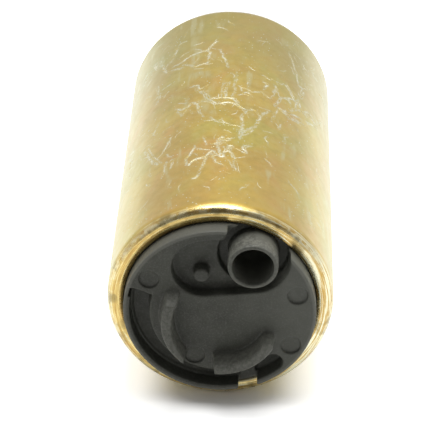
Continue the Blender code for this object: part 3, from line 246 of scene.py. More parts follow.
def skin(field, axes):
    """Surface of a field: one point in each crossed cell, one quad for each crossed edge."""
    inside = field < 0
    shape = tuple(n - 1 for n in field.shape)
    total = np.zeros(shape + (3,), np.float32)
    count = np.zeros(shape, np.float32)
    quads = []
    for axis in range(3):
        a = [slice(None)] * 3
        b = [slice(None)] * 3
        a[axis], b[axis] = slice(0, -1), slice(1, None)
        va, vb = field[tuple(a)], field[tuple(b)]
        crossed = inside[tuple(a)] != inside[tuple(b)]
        i, j, k = np.nonzero(crossed)
        t = va[i, j, k] / (va[i, j, k] - vb[i, j, k])
        place = [axes[0][i], axes[1][j], axes[2][k]]
        index = (i, j, k)[axis]
        place[axis] = axes[axis][index] + t * (axes[axis][index + 1] - axes[axis][index])
        u, v = [n for n in range(3) if n != axis]
        near = []
        for du, dv in ((0, 0), (1, 0), (1, 1), (0, 1)):
            cell = [i, j, k]
            cell[u] = cell[u] - du
            cell[v] = cell[v] - dv
            near.append(np.stack(cell, 1))
        for cell in near:
            ok = np.all((cell >= 0) & (cell < shape), 1)
            flat = np.ravel_multi_index(cell[ok].T, shape)
            for n in range(3):
                np.add.at(total.reshape(-1, 3)[:, n], flat, place[n][ok])
            np.add.at(count.reshape(-1), flat, 1)
        whole = np.all([np.all((c >= 0) & (c < shape), 1) for c in near], 0)
        ids = np.stack([np.ravel_multi_index(c[whole].T, shape) for c in near], 1)
        turn = inside[tuple(a)][i, j, k][whole] ^ (axis == 1)
        ids[~turn] = ids[~turn][:, ::-1]
        quads.append(ids)
    used = np.nonzero(count.reshape(-1))[0]
    points = total.reshape(-1, 3)[used] / count.reshape(-1)[used, None]
    number = np.full(count.size, -1, np.int64)
    number[used] = np.arange(len(used))
    return points.astype(float), number[np.concatenate(quads)]


def to_world(points):
    return (points + np.array([0.0, AXIS_Y, AXIS_Z])) * MM


def new_mesh(name, points, faces):
    mesh = bpy.data.meshes.new(name)
    mesh.from_pydata(to_world(points).tolist(), [], [tuple(f) for f in faces])
    mesh.update()
    mesh.shade_smooth()
    obj = bpy.data.objects.new(name, mesh)
    bpy.context.scene.collection.objects.link(obj)
    return obj


def fewer_faces(obj, share):
    """Merge the flattest faces until only a share of them is left."""
    obj.modifiers.new("fewer", "DECIMATE").ratio = min(1.0, share)
    graph = bpy.context.evaluated_depsgraph_get()
    dense, obj.data = obj.data, bpy.data.meshes.new_from_object(obj.evaluated_get(graph))
    obj.modifiers.clear()
    obj.data.name = dense.name
    bpy.data.meshes.remove(dense)
    return obj.data


def from_field(name, grid, field):
    """Smooth piece from a field, its points moved onto the surface and its normals exact."""
    axes = grid.axes
    field = np.ascontiguousarray(np.broadcast_to(field, tuple(len(a) for a in axes)))
    points, faces = skin(field, axes)
    slopes = np.gradient(field, *axes)
    for _ in range(2):
        found = sample([field, *slopes], axes, points)
        value, slope = found[:, :1], found[:, 1:]
        length2 = np.maximum((slope ** 2).sum(1, keepdims=True), 0.2)
        points = points - value * slope / length2
    obj = new_mesh(name, points, faces.tolist())
    mesh = fewer_faces(obj, MOST_TRIANGLES / (2 * len(faces)))
    points = np.zeros(3 * len(mesh.vertices))
    mesh.vertices.foreach_get("co", points)
    slope = sample(slopes, axes, points.reshape(-1, 3) / MM - to_world(np.zeros((1, 3))) / MM)
    normals = slope / np.maximum(np.linalg.norm(slope, axis=1, keepdims=True), 1e-9)
    mesh.normals_split_custom_set_from_vertices(normals.tolist())
    return obj


def arc(centre, radius, start, end, count):
    """Points along an arc, its ends in degrees."""
    out = []
    for k in range(count + 1):
        a = math.radians(start + (end - start) * k / count)
        out.append((centre[0] + radius * math.cos(a), centre[1] + radius * math.sin(a)))
    return out


def polar(radius, degrees):
    return radius * math.cos(math.radians(degrees)), radius * math.sin(math.radians(degrees))


def rectangle(x0, x1, z0, z1):
    return [(x0, z0), (x1, z0), (x1, z1), (x0, z1)]


def below_axis(radius, x):
    """Angle of the point at x on the lower half of a circle about the axis."""
    return -math.degrees(math.acos(x / radius))


# Inlet cover

def pocket_outline():
    """Bean round the peg and the inlet nipple, open to the cover's edge above the nipple."""
    reach, left_radius = POCKET_REACH, POCKET_LEFT_RADIUS
    left = (POCKET_LEFT_X, math.sqrt((reach - left_radius) ** 2 - POCKET_LEFT_X ** 2))
    lean = math.degrees(math.atan2(INLET[1] - left[1], INLET[0] - left[0]))
    gap = math.hypot(INLET[0] - left[0], INLET[1] - left[1])
    tangent = lean - 90.0 - math.degrees(math.asin((POCKET_RIGHT_RADIUS - left_radius) / gap))
    top_left = math.degrees(math.atan2(left[1], left[0]))
    outline = arc(left, left_radius, top_left, 360.0 + tangent, 60)
    outline += arc(INLET, POCKET_RIGHT_RADIUS, tangent, 10.0, 40)
    outline += arc((0, 0), 17.2, 45.5, 84.0, 12)
    outline += arc((0, 0), reach, 87.0, top_left - 1.0, 12)
    return outline


def channel_outline(inner, outer, start, end_x):
    """Band between two radii, from a start in degrees to a straight end at x on the lower half."""
    return (arc((0, 0), outer, start, 360 + below_axis(outer, end_x), 90)
            + arc((0, 0), inner, 360 + below_axis(inner, end_x), start, 90))


def right_rib():
    """Outline of the rib at the lower right: an arc, straight at its left end and round above."""
    outer, inner, end = RIGHT_RIB_OUTER, RIGHT_RIB_INNER, RIGHT_RIB_END
    start = [-90.0 + math.degrees(math.asin(RIGHT_RIB_LEFT_X / r)) for r in (outer, inner)]
    middle, half = (outer + inner) / 2, (outer - inner) / 2
    return (arc((0, 0), outer, start[0], end, 50)
            + arc(polar(middle, end), half, end, end + 180.0, 24)[1:-1]
            + arc((0, 0), inner, end, start[1], 50))


def side_rib():
    """Outline of the rib at the left: between two arcs, round at the top and cut off below."""
    edges = []
    for x, z, r in SIDE_RIB_ARCS:
        top = 180.0 - math.degrees(math.asin((SIDE_RIB_TOP - z) / r))
        bottom = 180.0 + math.degrees(math.acos((x - SIDE_RIB_LOW_X) / r))
        edges.append(arc((x, z), r, top, bottom, 40))
    outer, inner = edges
    middle = ((outer[0][0] + inner[0][0]) / 2, SIDE_RIB_TOP)
    cap = arc(middle, (inner[0][0] - outer[0][0]) / 2, 0.0, 180.0, 24)[1:-1]
    return outer + inner[::-1] + cap


def slot_outline():
    """Short slot that goes on from the channel past the notch, with a round end."""
    outer, inner = SLOT_MIDDLE + SLOT_HALF, SLOT_MIDDLE - SLOT_HALF
    return (arc((0, 0), outer, below_axis(outer, SLOT_LEFT), SLOT_ANGLE, 24)
            + arc(polar(SLOT_MIDDLE, SLOT_ANGLE), SLOT_HALF, SLOT_ANGLE, SLOT_ANGLE + 180.0,
                  24)[1:-1]
            + arc((0, 0), inner, SLOT_ANGLE, below_axis(inner, SLOT_LEFT), 24))


def build_cover():
    """The moulded cover: face with its recesses, then the raised forms, then the inner side."""
    g = Grid(17.85, 0.17, steps((-6.65, 0.17), (2.3, 0.6), (COVER_BACK + 0.5, 0.6)))
    y = g.y
    disc = smax(FACE - y, g.round(COVER_RADIUS + 0.06), 0.22)
    flange = smax(FLANGE_FRONT - y, g.round(FIT_RADIUS), 0.2)
    body = np.minimum(disc, flange)

    def sink(body, shape, depth, edge=0.32, corner=0.5):
        return smax(body, -smax(shape, y - (FACE + depth), corner), edge)

    body = sink(body, g.outline(pocket_outline()), POCKET_DEPTH)
    body = sink(body, g.round(INLET_RECESS, INLET), INLET_RECESS_DEPTH, 0.3)
    body = sink(body, g.outline(channel_outline(*RIM)), RIM_STEP, 0.3, 0.1)
    body = sink(body, g.outline(channel_outline(*LEDGE)), LEDGE_DEPTH, 0.25, 0.2)
    body = sink(body, g.outline(channel_outline(*CHANNEL)), CHANNEL_DEPTH, 0.3)
    start = arc((0, 0), 15.45, 162.3, 169.0, 6) + arc((0, 0), 13.0, 169.0, 162.3, 6)
    body = sink(body, g.outline(start), CHANNEL_START_DEPTH, 0.2, 0.3)
    body = sink(body, g.outline(slot_outline()), CHANNEL_DEPTH, 0.3)
    notch = rectangle(NOTCH_LEFT, NOTCH_RIGHT, -17.0,
                      -math.sqrt(CHANNEL_INNER ** 2 - NOTCH_RIGHT ** 2))
    body = sink(body, g.outline(notch), NOTCH_DEPTH, 0.22, 0.3)
    for at in MARKS:
        body = sink(body, g.round(MARK_RADIUS, at), MARK_DEPTH, 0.15, 0.2)

    tip = FACE - NIPPLE_HEIGHT
    nipple = smax(smax(tip - y, g.round(NIPPLE_RADIUS, INLET), 0.5), y - FACE - 5.0, 0.1)
    body = smin(body, nipple, 0.25)
    peg = smax(smax(FACE + 0.1 - y, g.round(PEG_RADIUS, PEG), 0.5), y - FACE - 3.2, 0.1)
    body = smin(body, peg, 0.4)
    for rib, height, cut in ((right_rib(), RIGHT_RIB_HEIGHT, 20.0),
                             (side_rib(), SIDE_RIB_HEIGHT, 4.35)):
        side = g.outline(rib) - RIB_DRAFT * (y - FACE + height / 2)
        side = smax(side, g.z + RIB_END_SLOPE * (FACE - y) - cut, 0.3)
        shape = smax(smax(FACE - height - y, side, 0.5), y - FACE - 1.0, 0.1)
        body = smin(body, shape, 0.3)

    bore = g.bored([(tip - 1.0, NIPPLE_BORE), (PORT_FRONT, NIPPLE_BORE),
                    ((PORT_FRONT + COVER_BACK) / 2, PORT_RADIUS), (COVER_BACK + 1.0, PORT_RADIUS)],
                   INLET)
    body = smax(body, -bore, 0.3)
    body = np.maximum(body, y - COVER_BACK)
    shaft_recess = g.bored([(PORT_FRONT, PORT_RADIUS), (COVER_BACK + 1.0, PORT_RADIUS)])
    body = np.maximum(body, -shaft_recess)
    flow = g.outline(arc((0, 0), FLOW_OUTER, FLOW_START, FLOW_END, 90)
                     + arc((0, 0), FLOW_INNER, FLOW_END, FLOW_START, 90))
    body = np.maximum(body, -np.maximum(flow, COVER_BACK - FLOW_DEPTH - y))
    return from_field("cover_moulding", g, body)


# Can

# Scratches seen in the photo: relative width, then places as degrees from the top and mm from
# the front lip
SCRATCHES = (
    (1.0, (-32, 53.7), (-28, 53.7), (-22, 54.9), (-15, 55.4), (-12, 55.4), (-9, 57.9), (-7, 58.6)),
    (1.6, (-12, 55.4), (-10, 54.4), (-11, 52.9)),
    (1.3, (-42, 57.4), (-39, 54.3), (-36, 52.3), (-32, 52.1), (-27, 51.5)),
    (0.9, (-26, 52.3), (-23, 51.5), (-19, 50), (-14, 50.2), (-11, 50.3), (-11, 53)),
    (0.7, (-35, 56.1), (-33, 57.5), (-30, 60.6)),
    (1.2, (-48, 60.2), (-45, 57.6)),
    (0.8, (-5, 54.8), (-3, 52), (0, 48.2)),
    (0.9, (-19, 42.7), (-16, 42.5), (-15, 40.5), (-11, 38.6), (-10, 37), (-8, 35.7), (-5, 34.8),
     (3, 35.2), (6, 34.6), (11, 32.9)),
    (0.8, (-9, 36.9), (-5, 36.6), (0, 36.9), (4, 36.3), (6, 35)),
    (1.0, (0, 36.6), (-1, 39.1), (0, 41), (1, 42.5)),
    (0.7, (3, 37), (5, 39.7), (4, 41.9), (6, 43.8)),
    (0.8, (7, 38), (10, 39.4), (14, 40), (19, 40.9), (22, 39.7), (25, 39.9)),
    (1.0, (11, 32.9), (9, 31), (9, 26.4), (8, 24.9), (8, 23.2)),
    (1.0, (8, 23.6), (10, 25.1), (13, 26.6), (16, 28), (18, 30.2), (20, 33.1), (24, 35.3)),
    (0.7, (9, 24), (12, 24.7), (15, 26.5)),
    (0.6, (11, 33), (15, 33.5), (17, 32.9), (19, 30.7)),
    (0.9, (-8, 30), (-6, 28.8), (-3, 28)),
    (0.6, (25, 31.5), (27, 34.4), (29, 36.9)),
    (0.9, (-15, 20.4), (-17, 18.6), (-19, 17.3), (-19, 15.3)),
    (1.0, (-18, 14.8), (-16, 15.9), (-13, 16.4), (-9, 16.4), (-7, 17.9), (-6, 18.5), (-4, 17.4)),
    (0.8, (-9, 16), (-10, 14.5), (-11, 12.9)),
    (0.8, (-6, 18.2), (-5, 16.2), (-4, 14.8), (-1, 13.8)),
    (0.6, (-14, 19.9), (-11, 19.5), (-7, 18.6)),
    (1.0, (-4, 20.5), (-3, 21.8), (-1, 23.1), (0, 22.1), (2, 21.8), (4, 22.6)),
    (1.0, (-2, 21.8), (-3, 19.8), (-2, 18.1), (-2, 16.4), (0, 16.1), (0, 17.8), (3, 18.2),
     (5, 17.2), (6, 16)),
    (0.9, (2, 18.5), (2, 19.5), (3, 20.2), (4, 19.5), (3, 18.5)),
    (0.9, (13, 21), (10, 20.4), (10, 19.3), (11, 19.1), (11, 18.4), (9, 18.5)),
    (0.6, (3, 15.2), (5, 13)),
    (0.6, (5, 15.3), (6, 13.7), (7, 11.9)),
    (1.2, (-15, 10.1), (-13, 9.9), (-12, 10.7)),
    (1.1, (-28, 36.3), (-25, 35.1), (-21, 35.4), (-19, 36.5), (-16, 35.6), (-15, 33.9),
     (-14, 32.1)),
    (0.8, (-27, 35), (-24, 32.7)),
    (1.2, (20, 44.8), (23, 44.6), (21, 42.9)),
    (1.2, (27, 45), (28, 44.2), (26, 42.8)),
    (1.1, (27, 38), (29, 39.6), (31, 41.6), (35, 42.6)),
    (1.2, (29, 37.4), (32, 37), (35, 36.4), (37, 36.2), (42, 37.1)),
    (1.1, (32, 37.7), (35, 37.7), (39, 38.5), (44, 39.1)),
    (0.9, (34, 47.4), (37, 45.8), (39, 44.1)),
    (1.2, (42, 44.8), (44, 44.3), (44, 43.2)),
    (1.0, (41, 44.2), (41, 41.6), (37, 39.1)),
    (0.9, (36, 60.6), (39, 57.7), (41, 55.2), (42, 52.4), (43, 50.7), (46, 51)),
    (0.9, (47, 50.2), (45, 46.8)),
    (0.7, (-39, 34.2), (-42, 31.7)),
    (0.9, (-30, 26.6), (-32, 24.4), (-34, 22.7)),
    (1.0, (-48, 28.1), (-45, 25.6), (-42, 22.8), (-37, 19.4)),
    (0.8, (-31, 18.7), (-32, 15.6), (-33, 14)),
    (0.7, (-27, 18.4), (-28, 15.9)),
    (1.0, (-22, 67), (-20, 68.6), (-19, 69.5)),
    (0.7, (-43, 49.9), (-40, 44.2), (-42, 42.7)),
)


def can_profile():
    """Section of the can: each end is bent over in a rounded roll with a bright crest."""
    end = [(0.25, LIP_BORE), (0.10, LIP_BORE + 0.2)]
    end += [(0.03, 16.9), (0.0, 17.3), (0.02, 17.65), (0.10, 17.95), (0.24, 18.2), (0.44, 18.42),
            (0.72, 18.62), (1.05, 18.77), (1.4, 18.88), (1.75, 18.94), (WALL_START, CAN_RADIUS)]
    inside = [(LIP_DEPTH, CAN_BORE), (LIP_DEPTH, LIP_BORE + 0.1), (LIP_DEPTH - 0.1, LIP_BORE)]
    front = inside + [(0.8, LIP_BORE)] + end
    return front + [(CAN_LENGTH - y, r) for y, r in reversed(front)]


def can_wave(y, r, c, s):
    """Slight unevenness that the rolling leaves on the lips."""
    end = min(y, CAN_LENGTH - y)
    if end > WALL_START - 0.05 or r < CAN_BORE - 1.2:
        return y, r
    amount = 0.05 * min(1.0, WALL_START - end)
    n = noise.noise(Vector((c * 9.0, s * 9.0, y * 0.4)))
    fine = noise.noise(Vector((c * 30.0, s * 30.0, y * 0.8 + 7.0)))
    dent = amount * (abs(n) * 0.8 + abs(fine) * 0.5)
    toward = 1.0 if y < CAN_LENGTH / 2 else -1.0
    return y + toward * dent, r - 0.4 * dent


def strayed(start, heading, length, chance, step=0.9):
    """A wandering path of short steps over the unrolled wall."""
    path = [start]
    for _ in range(max(2, round(length / step))):
        heading += chance.normal(0.0, 0.55)
        x, y = path[-1]
        path.append((x + step * math.cos(heading), y + step * math.sin(heading)))
    return path


def all_scratches(chance):
    """The main scratches with small branches, groups of the same kind on the far side, and nicks.

    Each is a relative width and a path of places on the unrolled wall, in mm.
    """
    arc_mm = math.radians(CAN_RADIUS)
    out = []
    for width, *places in SCRATCHES:
        path = [(a * arc_mm, y) for a, y in places]
        out.append((width, path))
        if chance.random() < 0.6:
            aside = chance.normal(0.0, 0.35, 2)
            out.append((0.6 * width, [(x + aside[0], y + aside[1]) for x, y in path]))
        for at in path[1:]:
            if chance.random() < 0.35:
                branch = strayed(at, chance.uniform(0, ANY_HEADING), chance.uniform(0.8, 2.6),
                                 chance)
                out.append((0.5 * width, branch))
    for _ in range(FAR_GROUPS):
        side = chance.choice((-1, 1))
        centre = (side * chance.uniform(55.0, 168.0) * arc_mm, chance.uniform(10.0, 60.0))
        heading = chance.uniform(0, ANY_HEADING)
        for _ in range(chance.integers(3, 8)):
            start = (centre[0] + chance.normal(0, 2.2), centre[1] + chance.normal(0, 3.2))
            width = chance.uniform(0.5, 1.1)
            out.append((width, strayed(start, heading + chance.normal(0, 0.7),
                                       chance.uniform(1.5, 6.5), chance)))
    for _ in range(NICKS):
        start = (chance.uniform(-172.0, 172.0) * arc_mm, chance.uniform(5.0, CAN_LENGTH - 5.0))
        width = chance.uniform(0.3, 0.75)
        out.append((width, strayed(start, chance.uniform(0, ANY_HEADING), chance.uniform(0.3, 1.5),
                                   chance)))
    return out


def groove(path, width, chance):
    """Left edge, deepest line and right edge of a rough, tapered scratch."""
    path = np.array(path)
    run = np.concatenate([[0.0], np.cumsum(np.hypot(*np.diff(path, axis=0).T))])
    count = max(4, round(run[-1] / SCRATCH_STEP))
    t = np.linspace(0.0, run[-1], count)
    line = np.stack([np.interp(t, run, path[:, k]) for k in (0, 1)], 1)
    drift = np.zeros(2)
    for i in range(count):
        drift = 0.7 * drift + chance.normal(0.0, 0.06, 2)
        line[i] += drift
    slope = np.gradient(line, axis=0)
    slope /= np.hypot(*slope.T)[:, None] + 1e-9
    normal = np.stack([-slope[:, 1], slope[:, 0]], 1)
    taper = 0.25 + 0.75 * np.sin(np.pi * (np.arange(count) + 0.4) / (count - 0.2)) ** 0.6
    half = (SCRATCH_HALF * width * taper * chance.uniform(0.6, 1.4, count))[:, None]
    deepest = line + normal * half * chance.uniform(-0.4, 0.4)
    return line + normal * half, deepest, line - normal * half


def scratched_wall():
    """Outer wall unrolled, triangulated with its scratches and rolled up again."""
    chance = np.random.default_rng(SCRATCH_SEED)
    rows = np.linspace(WALL_START, CAN_LENGTH - WALL_START, 25)
    around = CAN_RADIUS * np.pi * (2 * np.arange(CAN_SIDES + 1) / CAN_SIDES - 1)
    flat = [(x, y) for y in rows for x in around]
    deep, quads, rubbed = {}, [], []
    for width, path in all_scratches(chance):
        left, middle, right = groove(path, width, chance)
        low, high = left.min(0), left.max(0)
        if (low[1] < WALL_START + 0.5 or high[1] > CAN_LENGTH - WALL_START - 0.5
                or max(abs(low[0]), abs(high[0])) > around[-1] - 1.0):
            continue
        rubbed += [(width, *at) for at in middle]
        across = (left - right) / (np.hypot(*(left - right).T)[:, None] + 1e-9)
        for aside in (-0.9, -0.4, 0.4, 0.9):
            flat += map(tuple, (middle + aside * across)[::2 if abs(aside) > 0.5 else 1])
        first, n = len(flat), len(left)
        flat += [*map(tuple, left), *map(tuple, middle), *map(tuple, right)]
        for i in range(n):
            deep[first + n + i] = SCRATCH_DEPTH * width
        for i in range(n - 1):
            for k in (0, n):
                a, b = first + k + i, first + k + n + i
                quads.append((a, b, b + 1, a + 1))
    places, _, faces, sources, _, owners = geometry.delaunay_2d_cdt(
        [Vector(at) for at in flat], [], quads, 0, 1e-4)
    depth = np.array([max((deep.get(i, 0.0) for i in ids), default=0.0) for ids in sources])
    places = np.array([tuple(at) for at in places])
    angle, radius = places[:, 0] / CAN_RADIUS, CAN_RADIUS - depth
    points = np.stack([radius * np.sin(angle), places[:, 1], radius * np.cos(angle)], 1)
    return points, faces, [int(bool(ids)) for ids in owners], rubbed


def mark_rubbed(mesh, rubbed):
    """Store at each vertex how much the yellow film is rubbed by scratches near it."""
    tree = kdtree.KDTree(len(rubbed))
    for i, (_, x, y) in enumerate(rubbed):
        tree.insert((x, y, 0.0), i)
    tree.balance()
    axis = to_world(np.zeros((1, 3)))[0]
    values = []
    for vertex in mesh.vertices:
        x, y, z = (np.array(vertex.co) - axis) / MM
        value = 0.0
        if math.hypot(x, z) > CAN_RADIUS - 0.2:
            at = (math.atan2(x, z) * CAN_RADIUS, y, 0.0)
            for _, i, far in tree.find_range(at, RUB_REACH):
                value = max(value, min(1.0, rubbed[i][0]) * math.exp(-(far / RUB_FALL) ** 2))
        values.append(value)
    mesh.attributes.new("rubbed", "FLOAT", "POINT").data.foreach_set("value", values)


def build_can():
    """Rolled tube: ends and inside are turned, the outer wall carries its scratches."""
    profile = can_profile()
    count = len(profile)
    wall = profile.index((WALL_START, CAN_RADIUS))
    points, faces = [], []
    for k in range(CAN_SIDES):
        angle = 2 * math.pi * k / CAN_SIDES
        c, s = math.cos(angle), math.sin(angle)
        a, b = k * count, (k + 1) % CAN_SIDES * count
        for i, (y, r) in enumerate(profile):
            y, r = can_wave(y, r, c, s)
            points.append((r * c, y, r * s))
            j = (i + 1) % count
            if i != wall:
                faces.append((a + i, a + j, b + j, b + i))
    finish = [0] * len(faces)
    outer, triangles, scratched, rubbed = scratched_wall()
    faces += [tuple(len(points) + i for i in face) for face in triangles]
    obj = new_mesh("can_shell", np.concatenate([points, outer]), faces)
    mesh = obj.data
    mesh.polygons.foreach_set("material_index", finish + scratched)
    bm = bmesh.new()
    bm.from_mesh(mesh)
    bmesh.ops.remove_doubles(bm, verts=bm.verts[:], dist=2e-7)
    bmesh.ops.dissolve_degenerate(bm, edges=bm.edges[:], dist=1e-8)
    bmesh.ops.recalc_face_normals(bm, faces=bm.faces[:])
    bm.to_mesh(mesh)
    bm.free()
    mesh.set_sharp_from_angle(angle=math.radians(40))
    # Scratches are shaded flat, and the straight wall as exactly round
    normals = [Vector(n.vector) for n in mesh.corner_normals]
    start, end = to_world(np.array([[0.0, y, 0.0] for y in (WALL_START, CAN_LENGTH - WALL_START)]))
    for face in mesh.polygons:
        if face.material_index:
            for i in face.loop_indices:
                normals[i] = face.normal.copy()
            continue
        corners = [mesh.vertices[i].co for i in face.vertices]
        if all(start[1] - 1e-6 < at.y < end[1] + 1e-6 and
               math.hypot(at.x, at.z - start[2]) > (CAN_RADIUS - 0.1) * MM for at in corners):
            for i, at in zip(face.loop_indices, corners):
                normals[i] = Vector((at.x, 0.0, at.z - start[2])).normalized()
    mesh.normals_split_custom_set(normals)
    mark_rubbed(mesh, rubbed)
    return obj


# Outlet cap

def rounded_rectangle(cx, half_x, half_z, corner):
    """Outline about (cx, 0) with round corners."""
    out = []
    for sx, sz, start in ((1, 1, 0), (-1, 1, 90), (-1, -1, 180), (1, -1, 270)):
        centre = (cx + sx * (half_x - corner), sz * (half_z - corner))
        out += arc(centre, corner, start, start + 90, 10)
    return out


def build_cap():
    """The moulded outlet cap: outer forms first, then every hollow that its inner parts need."""
    g = Grid(17.9, 0.2, steps((CAP_FRONT - 0.6, 0.6), (CAP_SHOULDER - 0.5, 0.2),
                              (OUTLET_TIP + 0.6, 0.2)))
    y = g.y
    shell = np.maximum(CAP_FRONT - y, g.round(FIT_RADIUS))
    shell = np.maximum(shell, y - CAP_SHOULDER)
    boss = smax(y - CAP_FACE, g.round(COVER_RADIUS), 1.2)
    body = np.minimum(shell, np.maximum(boss, CAP_SHOULDER - 1.0 - y))
    body = np.maximum(body, -np.maximum(g.round(CAP_BORE), y - CAP_FLOOR))
    seal = np.maximum(np.abs(y - CAP_SHOULDER + SEAL_INSET) - SEAL_HALF,
                      SEAL_RADIUS - np.hypot(g.x, g.z))
    body = np.maximum(body, -seal)

    barbs = [(CAP_FACE - 2.7, NECK_RADIUS), (OUTLET_TIP - 5.3, NECK_RADIUS),
             (OUTLET_TIP - 5.05, BARB_RADIUS), (OUTLET_TIP - 2.7, NECK_RADIUS),
             (OUTLET_TIP - 2.45, BARB_RADIUS), (OUTLET_TIP + 0.2, 3.65)]
    nipple = smax(g.bored(barbs, OUTLET), y - OUTLET_TIP, 0.4)
    body = smin(body, nipple, 0.7)
    socket = g.outline(rounded_rectangle(SOCKET_X, SOCKET_HALF_X + SOCKET_WALL,
                                         SOCKET_HALF_Z + SOCKET_WALL, 2.2))
    socket = smax(smax(socket, y - CAP_FACE - SOCKET_LENGTH, 0.4), CAP_FACE - 2.2 - y, 0.1)
    body = smin(body, socket, 0.6)

    hollow = g.outline(rounded_rectangle(SOCKET_X, SOCKET_HALF_X, SOCKET_HALF_Z, 1.0))
    wall_x = SOCKET_X + SOCKET_HALF_X
    key = g.outline(rectangle(wall_x - 0.4, wall_x + 0.9, -1.2, 1.2))
    hollow = np.minimum(hollow, key)
    body = smax(body, -smax(hollow, CAP_FACE + 0.8 - y, 0.3), 0.3)

    below = CAP_FLOOR - 1.0
    bearing = CAP_FLOOR + 5.6
    foot_y = CAP_FACE - 6.0
    bearing_seat = [(below, 3.6), (bearing, 3.6), (bearing + 0.05, 2.6), (bearing + 0.6, 2.6)]
    body = np.maximum(body, -g.bored(bearing_seat))
    check_bore = [(below, VALVE_PORT), (CAP_FACE - 1.5, VALVE_PORT), (CAP_FACE - 0.4, VALVE_BORE),
                  (OUTLET_TIP + 1.0, VALVE_BORE)]
    body = smax(body, -g.bored(check_bore, OUTLET), 0.3)
    relief_bore = [(below, RELIEF_PORT), (CAP_FACE - 8.0, RELIEF_PORT),
                   (CAP_FACE - 6.9, RELIEF_BORE), (CAP_FACE + 1.0, RELIEF_BORE)]
    body = smax(body, -g.bored(relief_bore, RELIEF), 0.25)
    for side in (-1, 1):
        # Brush well, choke bore, then the slit and foot that hold a terminal
        well = g.outline(rectangle(-2.4, 2.4, *sorted((side * 4.3, side * 9.5))))
        body = np.maximum(body, -np.maximum(well, y - CAP_FACE + 2.7))
        choke = g.bored([(below, CHOKE_BORE), (foot_y, CHOKE_BORE)], (CHOKE_X, side * CHOKE_Z))
        body = np.maximum(body, -choke)
        slit = g.outline(rectangle(5.9, 9.3, *sorted((side * 2.7, side * 4.1))))
        body = np.maximum(body, -np.maximum(slit, np.maximum(foot_y - y, y - CAP_FACE - 1.2)))
        foot = g.outline(rectangle(5.9, 9.3, *sorted((side * 2.7, side * 7.9))))
        body = np.maximum(body, -np.maximum(foot, np.abs(y - foot_y - 0.4) - 0.7))
    return from_field("cap_moulding", g, body)


cover = build_cover()
can = build_can()
cap = build_cap()
for piece, node, finish in ((cover, "inlet_cover", "cover_resin"), (can, "can", "zinc_steel"),
                            (cap, "end_cap", "cap_resin")):
    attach(piece, "housing")
    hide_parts(node)


# Materials

class Nodes:
    """Node tree under construction; inputs are numbers, tuples or outputs of other nodes."""

    def __init__(self, tree):
        self.tree = tree

    def node(self, kind, **settings):
        made = self.tree.nodes.new("ShaderNode" + kind)
        for key, value in settings.items():
            setattr(made, key, value)
        return made

    def feed(self, socket, value):
        if isinstance(value, bpy.types.NodeSocket):
            self.tree.links.new(value, socket)
        else:
            socket.default_value = value

    def math(self, operation, *values, kind=""):
        made = self.node(kind + "Math", operation=operation)
        for socket, value in zip(made.inputs, values):
            self.feed(socket, value)
        return made.outputs["Value" if operation == "DOT_PRODUCT" else 0]

    def ramp(self, value, low, high, to_low=0.0, to_high=1.0):
        made = self.node("MapRange", interpolation_type="SMOOTHSTEP")
        for socket, number in zip(made.inputs, (value, low, high, to_low, to_high)):
            self.feed(socket, number)
        return made.outputs[0]

    def mix(self, factor, a, b):
        made = self.node("Mix", data_type="RGBA")
        self.feed(made.inputs[0], factor)
        for socket, colour in ((made.inputs[6], a), (made.inputs[7], b)):
            self.feed(socket, (*colour, 1.0) if isinstance(colour, tuple) else colour)
        return made.outputs[2]

    def vector(self, *parts):
        made = self.node("CombineXYZ")
        for socket, part in zip(made.inputs, parts):
            self.feed(socket, part)
        return made.outputs[0]

    def parts(self, value):
        made = self.node("SeparateXYZ")
        self.feed(made.inputs[0], value)
        return made.outputs

    def length(self, x, y):
        return self.math("SQRT", self.math("ADD", self.math("MULTIPLY", x, x),
                                           self.math("MULTIPLY", y, y)))

    def ray(self, kind):
        return self.node("LightPath").outputs[f"Is {kind} Ray"]


